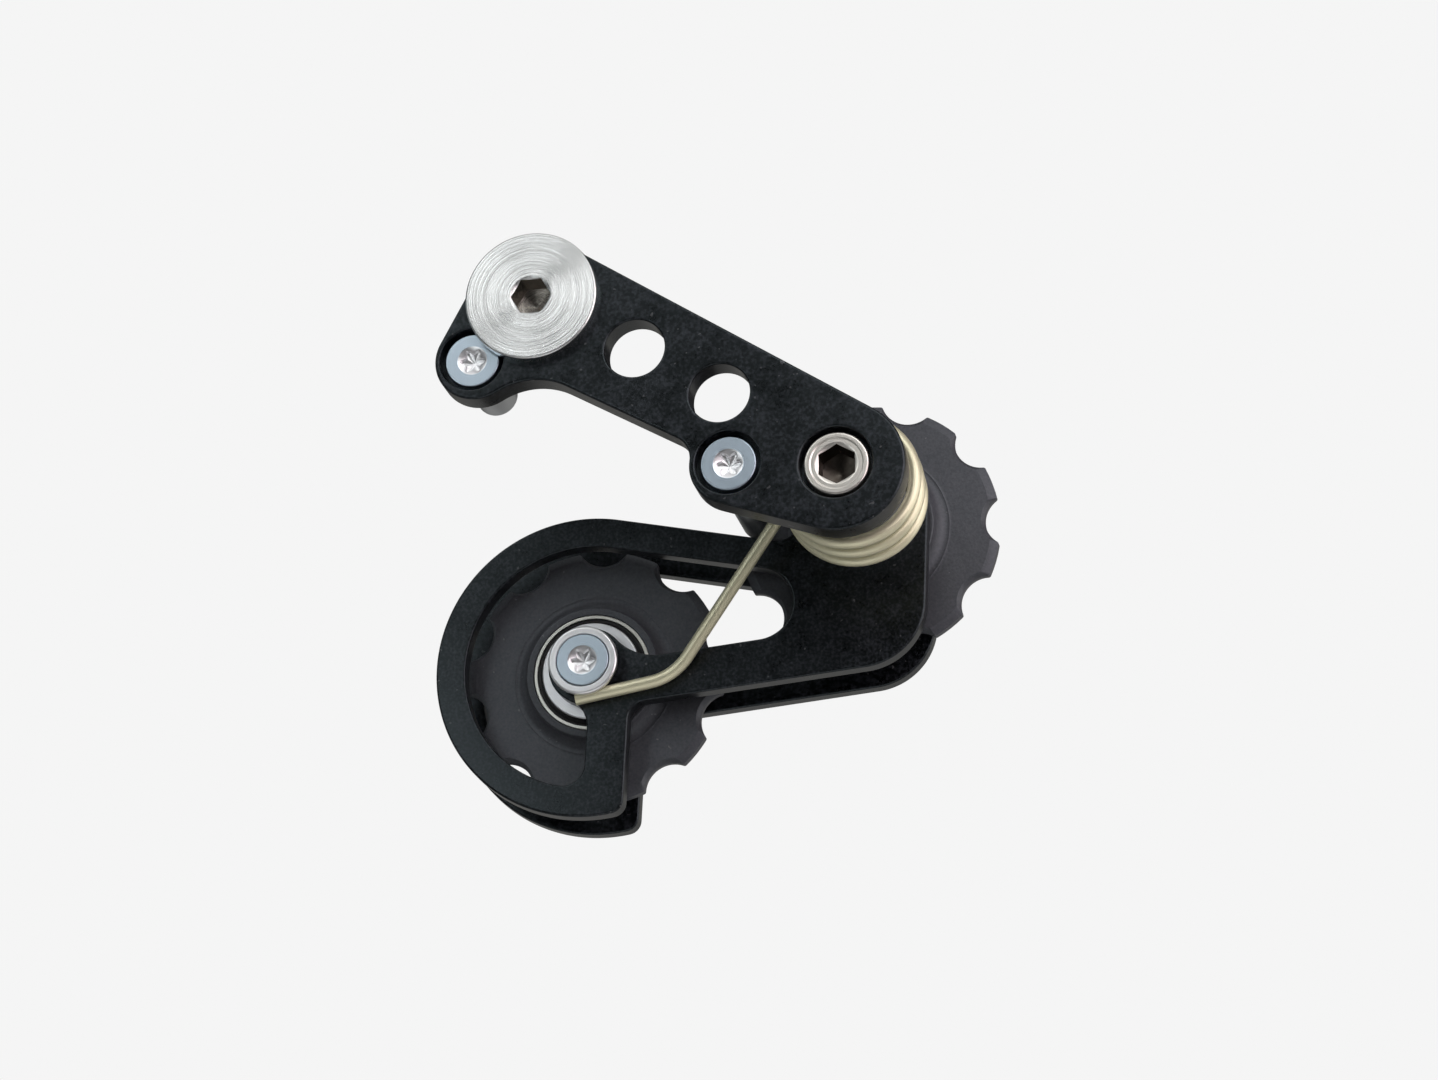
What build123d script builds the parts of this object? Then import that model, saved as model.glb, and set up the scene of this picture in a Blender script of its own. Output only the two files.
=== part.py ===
"""Sprung chain tensioner: mount arm, sprung cage with two plates, two toothed pulleys on ball bearings.

Millimetres. Origin on the hanger bolt axis at the arm's back face, X right, Y inboard (away from the
viewer of the photograph), Z up. The rest pose is the photographed one, with the cage on its stop pin.
"""
import math
import os

from build123d import *

# Fits and clearances
slip = 0.05
touch = 0.001
running = 0.05
air = 0.3
tang_air = 0.3

# Mount arm
arm_t = 4.0
hanger_at = (0.0, 0.0)
hanger_r = 9.2
pivot_at = (42.5, -27.1)
pivot_end_at = (42.7, -27.5)
pivot_end_r = 9.3
lower_pivot_r = 6.3
light_hole_1 = (14.5, -8.4)
light_hole_2 = (26.45, -15.9)
light_hole_r = 4.25
hanger_stop_at = (-8.75, -8.25)
hanger_stop_boss = (-8.1, -8.3)
hanger_stop_boss_r = 5.9
cage_stop_along = 20.26
cage_stop_gap = 0.25
cage_stop_boss_shift = (0.4, -0.2)
cage_stop_boss_r = 5.8
waist_fillet = 10.0
boss_fillet = 3.5
waist_side = -10.0
crotch_side = 150.0
arm_edge = 0.35

# Hanger bolt
hanger_head_r = 9.4
hanger_head_t = 1.6
hanger_head_edge = 0.3
hanger_shank_r = 5.0
hanger_shoulder_r = 5.7
hanger_reach = 9.0
hanger_tip_edge = 0.8
hex_flats = 5.0
hex_depth = 4.0
hanger_hex_turn = 0.0

# Stop screws and pins
screw_head_r = 3.9
screw_head_t = 1.5
screw_sink = 0.6
screw_r = 2.0
screw_bore_r = 4.6
lobe_circle_r = 1.6
lobe_r = 0.45
lobe_count = 6
lobe_depth = 1.0
hanger_pin_r = 3.0
hanger_pin_reach = 11.0
hanger_screw_reach = 8.0
cage_pin_r = 2.75
cage_pin_past_face = 2.1
cage_screw_reach = 9.0
pin_edge = 0.4

# Pivot bolt, guide tube and rear hardware
pivot_head_r = 4.55
pivot_head_t = 2.0
pivot_head_edge = 0.45
pivot_hex_turn = 30.0
pivot_counterbore_r = 5.1
pivot_shoulder_r = 4.0
pivot_shoulder_reach = 3.0
pivot_r = 3.0
pivot_tip_past_nut = 1.0
journal_r = 4.5
guide_r = 7.0
rear_washer_r = 6.5
rear_washer_t = 1.0
pivot_nut_flats = 10.0
pivot_nut_t = 5.0
nut_turn = 0.0

# Cage
axle_at = (2.75, -46.55)
plate_face_y = 19.4
front_plate_t = 2.6
chain_gap = 7.6
back_plate_t = 2.4
ring_r = 22.0
ring_inner_r = 17.7
strip_angle = 37.6
arm_angle = 20.5
lower_arm_w = 6.4
cage_end_r = 9.2
end_edge_angle = 61.5
cage_corner_r = 9.5
leg_angle = 61.0
leg_near = 0.5
leg_far = 6.4
axle_boss_r = 5.6
slot_r = 5.3
foot_fillet = 2.0
notch_fillet = 2.5
window_fillet = 3.0
boss_blend = 4.0
axle_throat_fillet = 8.0
throat_fillet = 3.0
plate_edge = 0.3
plain_bearing_r = 5.75

# Lower axle hardware
axle_bush_r = 5.0
axle_bush_h = 2.1
axle_bush_edge = 0.3
axle_sleeve_r = 3.0
axle_cone_h = 1.7
spacer_r = 4.4
flange_r = 7.1
flange_t = 0.45
axle_nut_flats = 7.0
axle_nut_t = 3.2
axle_tip_past_nut = 0.4

# Pulleys
teeth = 10
chain_pitch = 12.7
roller_seat_r = 4.0
tooth_tip_r = 18.7
tooth_t = 2.4
tooth_edge = 0.6
tip_taper = 1.2
seat_taper = 0.5
hub_r = 9.6
hub_w = 6.2
hub_foot_r = 11.5
hollow_angle = 45.0
upper_phase = 19.0
lower_phase = 33.0

# Ball bearings
bearing_r = 8.5
bearing_w = 6.0
race_land_r = 7.05
shield_seat_r = 8.0
inner_land_r = 5.0
ball_r = 1.5
ball_count = 7
ball_circle_r = 6.0
shield_t = 0.3
shield_sink = 0.35
retainer_in = 5.4
retainer_out = 6.6
retainer_w = 4.0

# Torsion spring
wire_r = 0.9
coil_r = 9.2
coil_front_y = 1.0
coil_back_y = 16.1
coil_turns = 3.95
leg_leaves_at = 145.5
leg_length = 33.4
leg_bend_r = 6.0
hook_past_axle = 1.2
tang_depth = 2.0
tang_hole_depth = 2.4


def polar(radius, degrees):
    """Point at a radius and an angle."""
    return Vector(radius * math.cos(math.radians(degrees)), radius * math.sin(math.radians(degrees)))


def tangent(first, first_r, second, second_r, side):
    """Both points where the outer tangent of two circles touches, on the left (1) or right (-1)."""
    a = Vector(*first)
    b = Vector(*second)
    way = math.degrees(math.atan2(b.Y - a.Y, b.X - a.X))
    turn = math.degrees(math.acos((first_r - second_r) / (b - a).length))
    return a + polar(first_r, way + side * turn), b + polar(second_r, way + side * turn)


def meet(normal_a, offset_a, normal_b, offset_b):
    """Crossing of two lines, each given by its normal's angle and its distance from the origin."""
    a = polar(1, normal_a)
    b = polar(1, normal_b)
    d = a.X * b.Y - a.Y * b.X
    return Vector((offset_a * b.Y - a.Y * offset_b) / d, (a.X * offset_b - offset_a * b.X) / d)


def near(shapes, point):
    """The shape nearest to a point."""
    return shapes.sort_by_distance(point)[0]


def across(y, at=(0, 0)):
    """Plane across the Y axis at a depth, X right and Y up, its normal towards the viewer."""
    return Plane(origin=(at[0], y, at[1]), x_dir=(1, 0, 0), z_dir=(0, -1, 0))


front_y = -arm_t
hanger_face_y = front_y - hanger_head_t
plate_back_y = plate_face_y + front_plate_t
rear_plate_y = plate_back_y + chain_gap
rear_face_y = rear_plate_y + back_plate_t
mid_y = plate_back_y + chain_gap / 2
bearing_front_y = mid_y - bearing_w / 2
bearing_back_y = mid_y + bearing_w / 2
screw_face_y = front_y + screw_sink
screw_seat_y = screw_face_y + screw_head_t
pivot_seat_y = screw_face_y + pivot_head_t
washer_y = rear_face_y + air
pivot_nut_y = washer_y + rear_washer_t
pitch_r = chain_pitch / 2 / math.sin(math.pi / teeth)
cage_span = math.hypot(pivot_at[0] - axle_at[0], pivot_at[1] - axle_at[1])
cage_angle = math.degrees(math.atan2(pivot_at[1] - axle_at[1], pivot_at[0] - axle_at[0]))
strip_normal = 90 - strip_angle
stop_in_cage = polar(ring_r + cage_pin_r + cage_stop_gap, strip_normal) + polar(cage_stop_along, -strip_angle)
cage_stop = Vector(*axle_at) + stop_in_cage.rotate(Axis.Z, cage_angle)
cage_stop_at = (cage_stop.X, cage_stop.Y)
cage_stop_boss = (cage_stop.X + cage_stop_boss_shift[0], cage_stop.Y + cage_stop_boss_shift[1])
tang_angle = leg_leaves_at - 360 * coil_turns
coil_pitch = (coil_back_y - coil_front_y) / coil_turns


def bar(at, y0, y1, radius, mode=Mode.ADD):
    """Round bar along Y from one depth to a deeper one, added to or cut from the part being built."""
    with BuildSketch(across(y1, at)) as section:
        Circle(radius)
    extrude(section.sketch, amount=y1 - y0, mode=mode)


def hexagon(at, y0, y1, flats, turn, mode=Mode.ADD):
    """Six-sided bar along Y, its size across flats, added to or cut from the part being built."""
    with BuildSketch(across(y1, at)) as section:
        RegularPolygon(flats / 2, 6, major_radius=False, rotation=turn)
    extrude(section.sketch, amount=y1 - y0, mode=mode)


def lobes(at, y):
    """Six-lobe recess cut into a screw's face."""
    with BuildSketch(across(y + lobe_depth, at)) as section:
        Circle(lobe_circle_r)
        with PolarLocations(lobe_circle_r, lobe_count):
            Circle(lobe_r)
    extrude(section.sketch, amount=lobe_depth, mode=Mode.SUBTRACT)


def edges_at(piece, y):
    """Edges of a piece that lie across Y at a depth."""
    return piece.edges().filter_by_position(Axis.Y, y - touch, y + touch)


def cage_plane(y):
    """Plane of the cage at a depth: origin on the lower axle, X towards the pivot."""
    way = polar(1, cage_angle)
    return Plane(origin=(axle_at[0], y, axle_at[1]), x_dir=(way.X, 0, way.Y), z_dir=(0, -1, 0))


# Mount arm
with BuildPart() as mount_arm:
    with BuildSketch(across(0)) as arm_profile:
        upper = tangent(hanger_at, hanger_r, pivot_end_at, pivot_end_r, 1)
        lower = tangent(hanger_at, hanger_r, pivot_at, lower_pivot_r, -1)
        under = tangent(cage_stop_boss, cage_stop_boss_r, pivot_end_at, pivot_end_r, -1)
        left = tangent(hanger_at, hanger_r, hanger_stop_boss, hanger_stop_boss_r, -1)
        Circle(hanger_r)
        with Locations(pivot_end_at):
            Circle(pivot_end_r)
        with Locations(cage_stop_boss):
            Circle(cage_stop_boss_r)
        with Locations(hanger_stop_boss):
            Circle(hanger_stop_boss_r)
        Polygon(upper[0], upper[1], pivot_end_at, lower[1], lower[0], hanger_at)
        Polygon(under[0], under[1], pivot_end_at, cage_stop_boss)
        Polygon(left[0], left[1], hanger_stop_boss, hanger_at)
        waist = Vector(*hanger_stop_boss) + polar(hanger_stop_boss_r, waist_side)
        crotch = Vector(*cage_stop_boss) + polar(cage_stop_boss_r, crotch_side)
        fillet(near(arm_profile.vertices(), waist), waist_fillet)
        fillet(near(arm_profile.vertices(), crotch), boss_fillet)
    extrude(amount=arm_t)
    bar(light_hole_1, front_y, 0, light_hole_r, Mode.SUBTRACT)
    bar(light_hole_2, front_y, 0, light_hole_r, Mode.SUBTRACT)
    chamfer(edges_at(mount_arm, front_y), arm_edge)
    bar(hanger_at, front_y, 0, hanger_shoulder_r + slip, Mode.SUBTRACT)
    for at in (hanger_stop_at, cage_stop_at):
        bar(at, front_y, screw_seat_y, screw_bore_r, Mode.SUBTRACT)
        bar(at, front_y, 0, screw_r + slip, Mode.SUBTRACT)
    bar(pivot_at, front_y, pivot_seat_y, pivot_counterbore_r, Mode.SUBTRACT)
    bar(pivot_at, front_y, 0, pivot_shoulder_r + slip, Mode.SUBTRACT)
    tang_at = Vector(*pivot_at) + polar(coil_r, tang_angle)
    bar((tang_at.X, tang_at.Y), -tang_hole_depth, 0, wire_r + tang_air, Mode.SUBTRACT)

# Hanger bolt
with BuildPart() as hanger_bolt:
    bar(hanger_at, hanger_face_y, front_y, hanger_head_r)
    chamfer(edges_at(hanger_bolt, hanger_face_y), hanger_head_edge)
    bar(hanger_at, front_y, 0, hanger_shoulder_r)
    bar(hanger_at, 0, hanger_reach, hanger_shank_r)
    chamfer(edges_at(hanger_bolt, hanger_reach), hanger_tip_edge)
    hexagon(hanger_at, hanger_face_y, hanger_face_y + hex_depth, hex_flats, hanger_hex_turn, Mode.SUBTRACT)


def stop_screw(at, reach):
    """Flat-head screw that holds a stop pin on the arm, added to the part being built."""
    bar(at, screw_face_y, screw_seat_y, screw_head_r)
    bar(at, screw_seat_y, reach, screw_r)
    lobes(at, screw_face_y)


def stop_pin(at, reach, radius, screw_reach):
    """Pin behind the arm with a blind thread for its screw, added to the part being built."""
    bar(at, 0, reach, radius)
    bar(at, 0, screw_reach + air, screw_r + slip, Mode.SUBTRACT)


# Stop pins and their screws
cage_pin_reach = plate_face_y + cage_pin_past_face
with BuildPart() as hanger_stop_screw:
    stop_screw(hanger_stop_at, hanger_screw_reach)
with BuildPart() as cage_stop_screw:
    stop_screw(cage_stop_at, cage_screw_reach)
with BuildPart() as hanger_stop_pin:
    stop_pin(hanger_stop_at, hanger_pin_reach, hanger_pin_r, hanger_screw_reach)
    chamfer(edges_at(hanger_stop_pin, hanger_pin_reach), pin_edge)
with BuildPart() as cage_stop_pin:
    stop_pin(cage_stop_at, cage_pin_reach, cage_pin_r, cage_screw_reach)
    chamfer(edges_at(cage_stop_pin, cage_pin_reach), pin_edge)

# Pivot bolt and the stack it clamps
pivot_tip_y = pivot_nut_y + pivot_nut_t + pivot_tip_past_nut
with BuildPart() as pivot_bolt:
    bar(pivot_at, screw_face_y, pivot_seat_y, pivot_head_r)
    chamfer(edges_at(pivot_bolt, screw_face_y), pivot_head_edge)
    bar(pivot_at, pivot_seat_y, pivot_shoulder_reach, pivot_shoulder_r)
    bar(pivot_at, pivot_shoulder_reach, pivot_tip_y, pivot_r)
    chamfer(edges_at(pivot_bolt, pivot_tip_y), pin_edge)
    hexagon(pivot_at, screw_face_y, screw_face_y + hex_depth, hex_flats, pivot_hex_turn, Mode.SUBTRACT)
with BuildPart() as spring_guide:
    bar(pivot_at, 0, plate_face_y - air, guide_r)
    bar(pivot_at, plate_face_y - air, bearing_front_y, journal_r)
    bar(pivot_at, 0, bearing_front_y, pivot_r + slip, Mode.SUBTRACT)
    bar(pivot_at, 0, pivot_shoulder_reach + air, pivot_shoulder_r + slip, Mode.SUBTRACT)
with BuildPart() as rear_collar:
    bar(pivot_at, bearing_back_y, washer_y, journal_r)
    bar(pivot_at, bearing_back_y, washer_y, pivot_r + slip, Mode.SUBTRACT)
with BuildPart() as pivot_washer:
    bar(pivot_at, washer_y, pivot_nut_y, rear_washer_r)
    bar(pivot_at, washer_y, pivot_nut_y, pivot_r + slip, Mode.SUBTRACT)
with BuildPart() as pivot_nut:
    hexagon(pivot_at, pivot_nut_y, pivot_nut_y + pivot_nut_t, pivot_nut_flats, nut_turn)
    bar(pivot_at, pivot_nut_y, pivot_nut_y + pivot_nut_t, pivot_r + slip, Mode.SUBTRACT)

# Outline shared by both cage plates: lines are given by their normal's angle and distance from the axle
slope_normal = 90 - arm_angle
leg_normal = leg_angle - 90
end_normal = end_edge_angle - 90
pivot_in_cage = Vector(cage_span, 0)
end_offset = cage_span * polar(1, end_normal).X + cage_end_r
strip_touch = polar(ring_r, strip_normal)
strip_end = strip_touch + polar(cage_span * polar(1, -strip_angle).X, -strip_angle)
throat_rise = cage_span * polar(1, strip_normal).X - ring_r
throat = strip_end - polar(math.sqrt(cage_end_r**2 - throat_rise**2), -strip_angle)
foot_top = meet(leg_normal, leg_far, slope_normal, -lower_arm_w)
foot_tip = polar(leg_far, leg_normal) - polar(math.sqrt(ring_r**2 - leg_far**2), leg_angle)
end_corner = meet(end_normal, end_offset, slope_normal, -lower_arm_w)
past_plate = cage_span + 2 * ring_r
down = polar(past_plate, leg_angle + 180)
along = polar(past_plate, -arm_angle)
slot_at = meet(strip_normal, ring_inner_r - slot_r, slope_normal, slot_r)
leg_root = meet(leg_normal, leg_near, slope_normal, 0)
leg_foot = polar(leg_near, leg_normal) - polar(math.sqrt(ring_inner_r**2 - leg_near**2), leg_angle)
boss_on_leg = polar(leg_near, leg_normal) - polar(math.sqrt(axle_boss_r**2 - leg_near**2), leg_angle)
with BuildSketch() as plate_window:
    Circle(ring_inner_r)
    Polygon(
        polar(ring_inner_r, strip_normal),
        slot_at + polar(slot_r, strip_normal),
        slot_at - polar(slot_r, slope_normal),
        (0, 0),
    )
    with Locations(slot_at):
        Circle(slot_r)
    Polygon(leg_root, leg_root + along, leg_root + along + down, leg_root + down, mode=Mode.SUBTRACT)
    Circle(axle_boss_r, mode=Mode.SUBTRACT)
    fillet(near(plate_window.vertices(), leg_foot), window_fillet)
    fillet(near(plate_window.vertices(), boss_on_leg), boss_blend)
    fillet(near(plate_window.vertices(), polar(axle_boss_r, -arm_angle)), axle_throat_fillet)
with BuildSketch() as plate_outline:
    Circle(ring_r)
    with Locations(pivot_in_cage):
        Circle(cage_end_r)
    Polygon(
        strip_touch,
        strip_end,
        pivot_in_cage,
        pivot_in_cage + polar(cage_end_r, end_normal),
        end_corner,
        foot_top,
        (0, 0),
    )
    Polygon(foot_top, foot_top + along, foot_top + along + down, foot_top + down, mode=Mode.SUBTRACT)
    fillet(near(plate_outline.vertices(), foot_top), notch_fillet)
    fillet(near(plate_outline.vertices(), foot_tip), foot_fillet)
    fillet(near(plate_outline.vertices(), end_corner), cage_corner_r)
    fillet(near(plate_outline.vertices(), throat), throat_fillet)
    add(plate_window.sketch, mode=Mode.SUBTRACT)

# Cage plates with their pivot bearings
with BuildPart() as cage_front_plate:
    with BuildSketch(cage_plane(plate_back_y)):
        add(plate_outline.sketch)
    extrude(amount=front_plate_t)
    chamfer(edges_at(cage_front_plate, plate_face_y), plate_edge)
    bar(pivot_at, plate_face_y, plate_back_y, plain_bearing_r, Mode.SUBTRACT)
    bar(axle_at, plate_face_y, plate_back_y, screw_r + slip, Mode.SUBTRACT)
with BuildPart() as cage_back_plate:
    with BuildSketch(cage_plane(rear_face_y)):
        add(plate_outline.sketch)
    extrude(amount=back_plate_t)
    chamfer(edges_at(cage_back_plate, rear_face_y), plate_edge)
    bar(pivot_at, rear_plate_y, rear_face_y, plain_bearing_r, Mode.SUBTRACT)
    bar(axle_at, rear_plate_y, rear_face_y, screw_r + slip, Mode.SUBTRACT)
with BuildPart() as front_plain_bearing:
    bar(pivot_at, plate_face_y, plate_back_y, plain_bearing_r)
    bar(pivot_at, plate_face_y, plate_back_y, journal_r + running, Mode.SUBTRACT)
with BuildPart() as back_plain_bearing:
    bar(pivot_at, rear_plate_y, rear_face_y, plain_bearing_r)
    bar(pivot_at, rear_plate_y, rear_face_y, journal_r + running, Mode.SUBTRACT)

# Lower axle
axle_face_y = plate_face_y - axle_bush_h
axle_cone_y = axle_face_y + axle_cone_h
axle_nut_y = rear_face_y
axle_tip_y = axle_nut_y + axle_nut_t + axle_tip_past_nut


def sunk_head(at, y0, y1, wide, narrow, mode=Mode.ADD):
    """Cone of a countersunk head along Y, wide at the front, added to or cut from the part being built."""
    with BuildSketch(across(y0, at)) as mouth:
        Circle(wide)
    with BuildSketch(across(y1, at)) as throat_end:
        Circle(narrow)
    loft([mouth.sketch, throat_end.sketch], mode=mode)


with BuildPart() as lower_axle_screw:
    sunk_head(axle_at, axle_face_y, axle_cone_y, screw_head_r, screw_r)
    bar(axle_at, axle_cone_y, axle_tip_y, screw_r)
    lobes(axle_at, axle_face_y)
with BuildPart() as lower_axle_bush:
    bar(axle_at, axle_face_y, plate_face_y, axle_bush_r)
    chamfer(edges_at(lower_axle_bush, axle_face_y), axle_bush_edge)
    sunk_head(axle_at, axle_face_y, axle_cone_y, screw_head_r, screw_r, Mode.SUBTRACT)
    bar(axle_at, axle_cone_y, plate_face_y, screw_r, Mode.SUBTRACT)
with BuildPart() as lower_axle_sleeve:
    bar(axle_at, plate_back_y, rear_plate_y, axle_sleeve_r)
    bar(axle_at, plate_back_y, rear_plate_y, screw_r + slip, Mode.SUBTRACT)
with BuildPart() as lower_front_spacer:
    bar(axle_at, plate_back_y, plate_back_y + flange_t, flange_r)
    bar(axle_at, plate_back_y, bearing_front_y, spacer_r)
    bar(axle_at, plate_back_y, bearing_front_y, axle_sleeve_r + slip, Mode.SUBTRACT)
with BuildPart() as lower_back_spacer:
    bar(axle_at, rear_plate_y - flange_t, rear_plate_y, flange_r)
    bar(axle_at, bearing_back_y, rear_plate_y, spacer_r)
    bar(axle_at, bearing_back_y, rear_plate_y, axle_sleeve_r + slip, Mode.SUBTRACT)
with BuildPart() as lower_axle_nut:
    hexagon(axle_at, axle_nut_y, axle_nut_y + axle_nut_t, axle_nut_flats, nut_turn)
    bar(axle_at, axle_nut_y, axle_nut_y + axle_nut_t, screw_r + slip, Mode.SUBTRACT)


def toothed_wheel(at, phase):
    """Moulded pulley with a hollow-flanked hub and tapered teeth, added to the part being built."""
    web = tooth_t / 2
    hub = hub_w / 2
    taper_r = tooth_tip_r - tip_taper
    hollow_r = hub_foot_r - polar(hub_foot_r - hub_r, hollow_angle).X
    hollow = hub - polar(hub - web, hollow_angle).Y
    with BuildSketch(Plane(origin=(at[0], mid_y, at[1]), x_dir=(1, 0, 0), z_dir=(0, 0, 1))) as section:
        with BuildLine():
            Line((bearing_r, -hub), (hub_r, -hub))
            ThreePointArc((hub_r, -hub), (hollow_r, -hollow), (hub_foot_r, -web))
            Line((hub_foot_r, -web), (taper_r, -web))
            Line((taper_r, -web), (tooth_tip_r, tooth_edge - web))
            Line((tooth_tip_r, tooth_edge - web), (tooth_tip_r, web - tooth_edge))
            Line((tooth_tip_r, web - tooth_edge), (taper_r, web))
            Line((taper_r, web), (hub_foot_r, web))
            ThreePointArc((hub_foot_r, web), (hollow_r, hollow), (hub_r, hub))
            Line((hub_r, hub), (bearing_r, hub))
            Line((bearing_r, hub), (bearing_r, -hub))
        make_face()
    revolve(section.sketch, axis=Axis((at[0], mid_y, at[1]), (0, 1, 0)))
    seat_mouth_r = roller_seat_r + seat_taper
    for step in range(teeth):
        seat = Vector(*at) + polar(pitch_r, phase + 180 / teeth + step * 360 / teeth)
        seat_at = (seat.X, seat.Y)
        bar(seat_at, mid_y - web, mid_y + web, roller_seat_r, Mode.SUBTRACT)
        for side in (-1, 1):
            face_y = mid_y + side * web
            sunk_head(seat_at, face_y, face_y - side * tooth_edge, seat_mouth_r, roller_seat_r, Mode.SUBTRACT)


def ball_track(at):
    """Ring that the balls run in, cut from the race being built."""
    with Locations(across(mid_y, at)):
        Torus(ball_circle_r, ball_r + running, mode=Mode.SUBTRACT)


# Pulleys and their bearings
pieces = {
    "mount_arm": mount_arm,
    "hanger_bolt": hanger_bolt,
    "hanger_stop_pin": hanger_stop_pin,
    "hanger_stop_screw": hanger_stop_screw,
    "cage_stop_pin": cage_stop_pin,
    "cage_stop_screw": cage_stop_screw,
    "pivot_bolt": pivot_bolt,
    "spring_guide": spring_guide,
    "rear_collar": rear_collar,
    "pivot_washer": pivot_washer,
    "pivot_nut": pivot_nut,
    "cage_front_plate": cage_front_plate,
    "cage_back_plate": cage_back_plate,
    "front_plain_bearing": front_plain_bearing,
    "back_plain_bearing": back_plain_bearing,
    "lower_axle_screw": lower_axle_screw,
    "lower_axle_bush": lower_axle_bush,
    "lower_axle_sleeve": lower_axle_sleeve,
    "lower_front_spacer": lower_front_spacer,
    "lower_back_spacer": lower_back_spacer,
    "lower_axle_nut": lower_axle_nut,
}
shield_back = shield_sink + shield_t
shield_bore_r = inner_land_r + air
for side, at, phase, bore in (
    ("upper", pivot_at, upper_phase, pivot_r),
    ("lower", axle_at, lower_phase, axle_sleeve_r),
):
    with BuildPart() as pulley:
        toothed_wheel(at, phase)
    with BuildPart() as outer_race:
        bar(at, bearing_front_y, bearing_back_y, bearing_r)
        bar(at, bearing_front_y, bearing_back_y, race_land_r, Mode.SUBTRACT)
        bar(at, bearing_front_y, bearing_front_y + shield_back, shield_seat_r, Mode.SUBTRACT)
        bar(at, bearing_back_y - shield_back, bearing_back_y, shield_seat_r, Mode.SUBTRACT)
        ball_track(at)
    with BuildPart() as inner_race:
        bar(at, bearing_front_y, bearing_back_y, inner_land_r)
        bar(at, bearing_front_y, bearing_back_y, bore + slip, Mode.SUBTRACT)
        ball_track(at)
    with BuildPart() as front_shield:
        bar(at, bearing_front_y + shield_sink, bearing_front_y + shield_back, shield_seat_r)
        bar(at, bearing_front_y + shield_sink, bearing_front_y + shield_back, shield_bore_r, Mode.SUBTRACT)
    with BuildPart() as back_shield:
        bar(at, bearing_back_y - shield_back, bearing_back_y - shield_sink, shield_seat_r)
        bar(at, bearing_back_y - shield_back, bearing_back_y - shield_sink, shield_bore_r, Mode.SUBTRACT)
    with BuildPart() as balls:
        with Locations(across(mid_y, at)):
            with PolarLocations(ball_circle_r, ball_count):
                Sphere(ball_r)
    with BuildPart() as retainer:
        bar(at, mid_y - retainer_w / 2, mid_y + retainer_w / 2, retainer_out)
        bar(at, mid_y - retainer_w / 2, mid_y + retainer_w / 2, retainer_in, Mode.SUBTRACT)
        with Locations(across(mid_y, at)):
            with PolarLocations(ball_circle_r, ball_count):
                Cylinder(ball_r + running, retainer_w, rotation=(0, 90, 0), mode=Mode.SUBTRACT)
    pieces[side + "_pulley"] = pulley
    pieces[side + "_outer_race"] = outer_race
    pieces[side + "_inner_race"] = inner_race
    pieces[side + "_front_shield"] = front_shield
    pieces[side + "_back_shield"] = back_shield
    pieces[side + "_bearing_balls"] = balls
    pieces[side + "_ball_retainer"] = retainer

# Torsion spring: coil, straight leg, bend, and the end that pushes the axle bush from below
coil_start = polar(1, tang_angle)
coil_plane = Plane(
    origin=(pivot_at[0], coil_front_y, pivot_at[1]),
    x_dir=(coil_start.X, 0, coil_start.Y),
    z_dir=(0, 1, 0),
)
coil = coil_plane * Helix(coil_pitch, coil_back_y - coil_front_y, coil_r, lefthand=True)
leg_start = coil @ 1
leg_way = coil % 1
bend = leg_start + leg_way * leg_length
to_axle = Vector(axle_at[0] - bend.X, axle_at[1] - bend.Z)
hook_clear = axle_bush_r + wire_r + slip
hook_turn = math.degrees(math.asin(hook_clear / to_axle.length))
hook_angle = math.degrees(math.atan2(to_axle.Y, to_axle.X)) + hook_turn
hook_flat = polar(1, hook_angle)
hook_way = Vector(hook_flat.X, 0, hook_flat.Y)
hook_length = math.sqrt(to_axle.length**2 - hook_clear**2) + hook_past_axle
turn = math.radians(leg_way.get_angle(hook_way))
bend_run = leg_bend_r * math.tan(turn / 2)
bend_rise = leg_bend_r / math.cos(turn / 2) - leg_bend_r
with BuildPart() as torsion_spring:
    with BuildLine():
        add(coil)
        Line(leg_start, bend - leg_way * bend_run)
        ThreePointArc(
            bend - leg_way * bend_run,
            bend + (hook_way - leg_way).normalized() * bend_rise,
            bend + hook_way * bend_run,
        )
        Line(bend + hook_way * bend_run, bend + hook_way * hook_length)
    with BuildSketch(Plane(origin=coil @ 0, z_dir=coil % 0)):
        Circle(wire_r)
    sweep()
    bar((tang_at.X, tang_at.Y), -tang_depth, coil_front_y, wire_r)
    with Locations(coil @ 0):
        Sphere(wire_r)
pieces["torsion_spring"] = torsion_spring

# One file for each piece
os.makedirs("parts", exist_ok=True)
for name, piece in pieces.items():
    piece.part.label = name
    export_step(piece.part, f"parts/{name}.step")
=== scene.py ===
"""Looks of a sprung bicycle chain tensioner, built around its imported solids.

Sizes are millimetres until a mesh is finished. X is right, Y is away from the viewer, Z is up, and the
origin is on the hanger bolt's axis at the arm's back face.
"""
import logging
import math
from collections.abc import Callable, Iterator, Sequence
from dataclasses import dataclass, replace
from enum import Enum
from typing import Any

import bmesh
import bpy
from mathutils import Matrix, Vector


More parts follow.
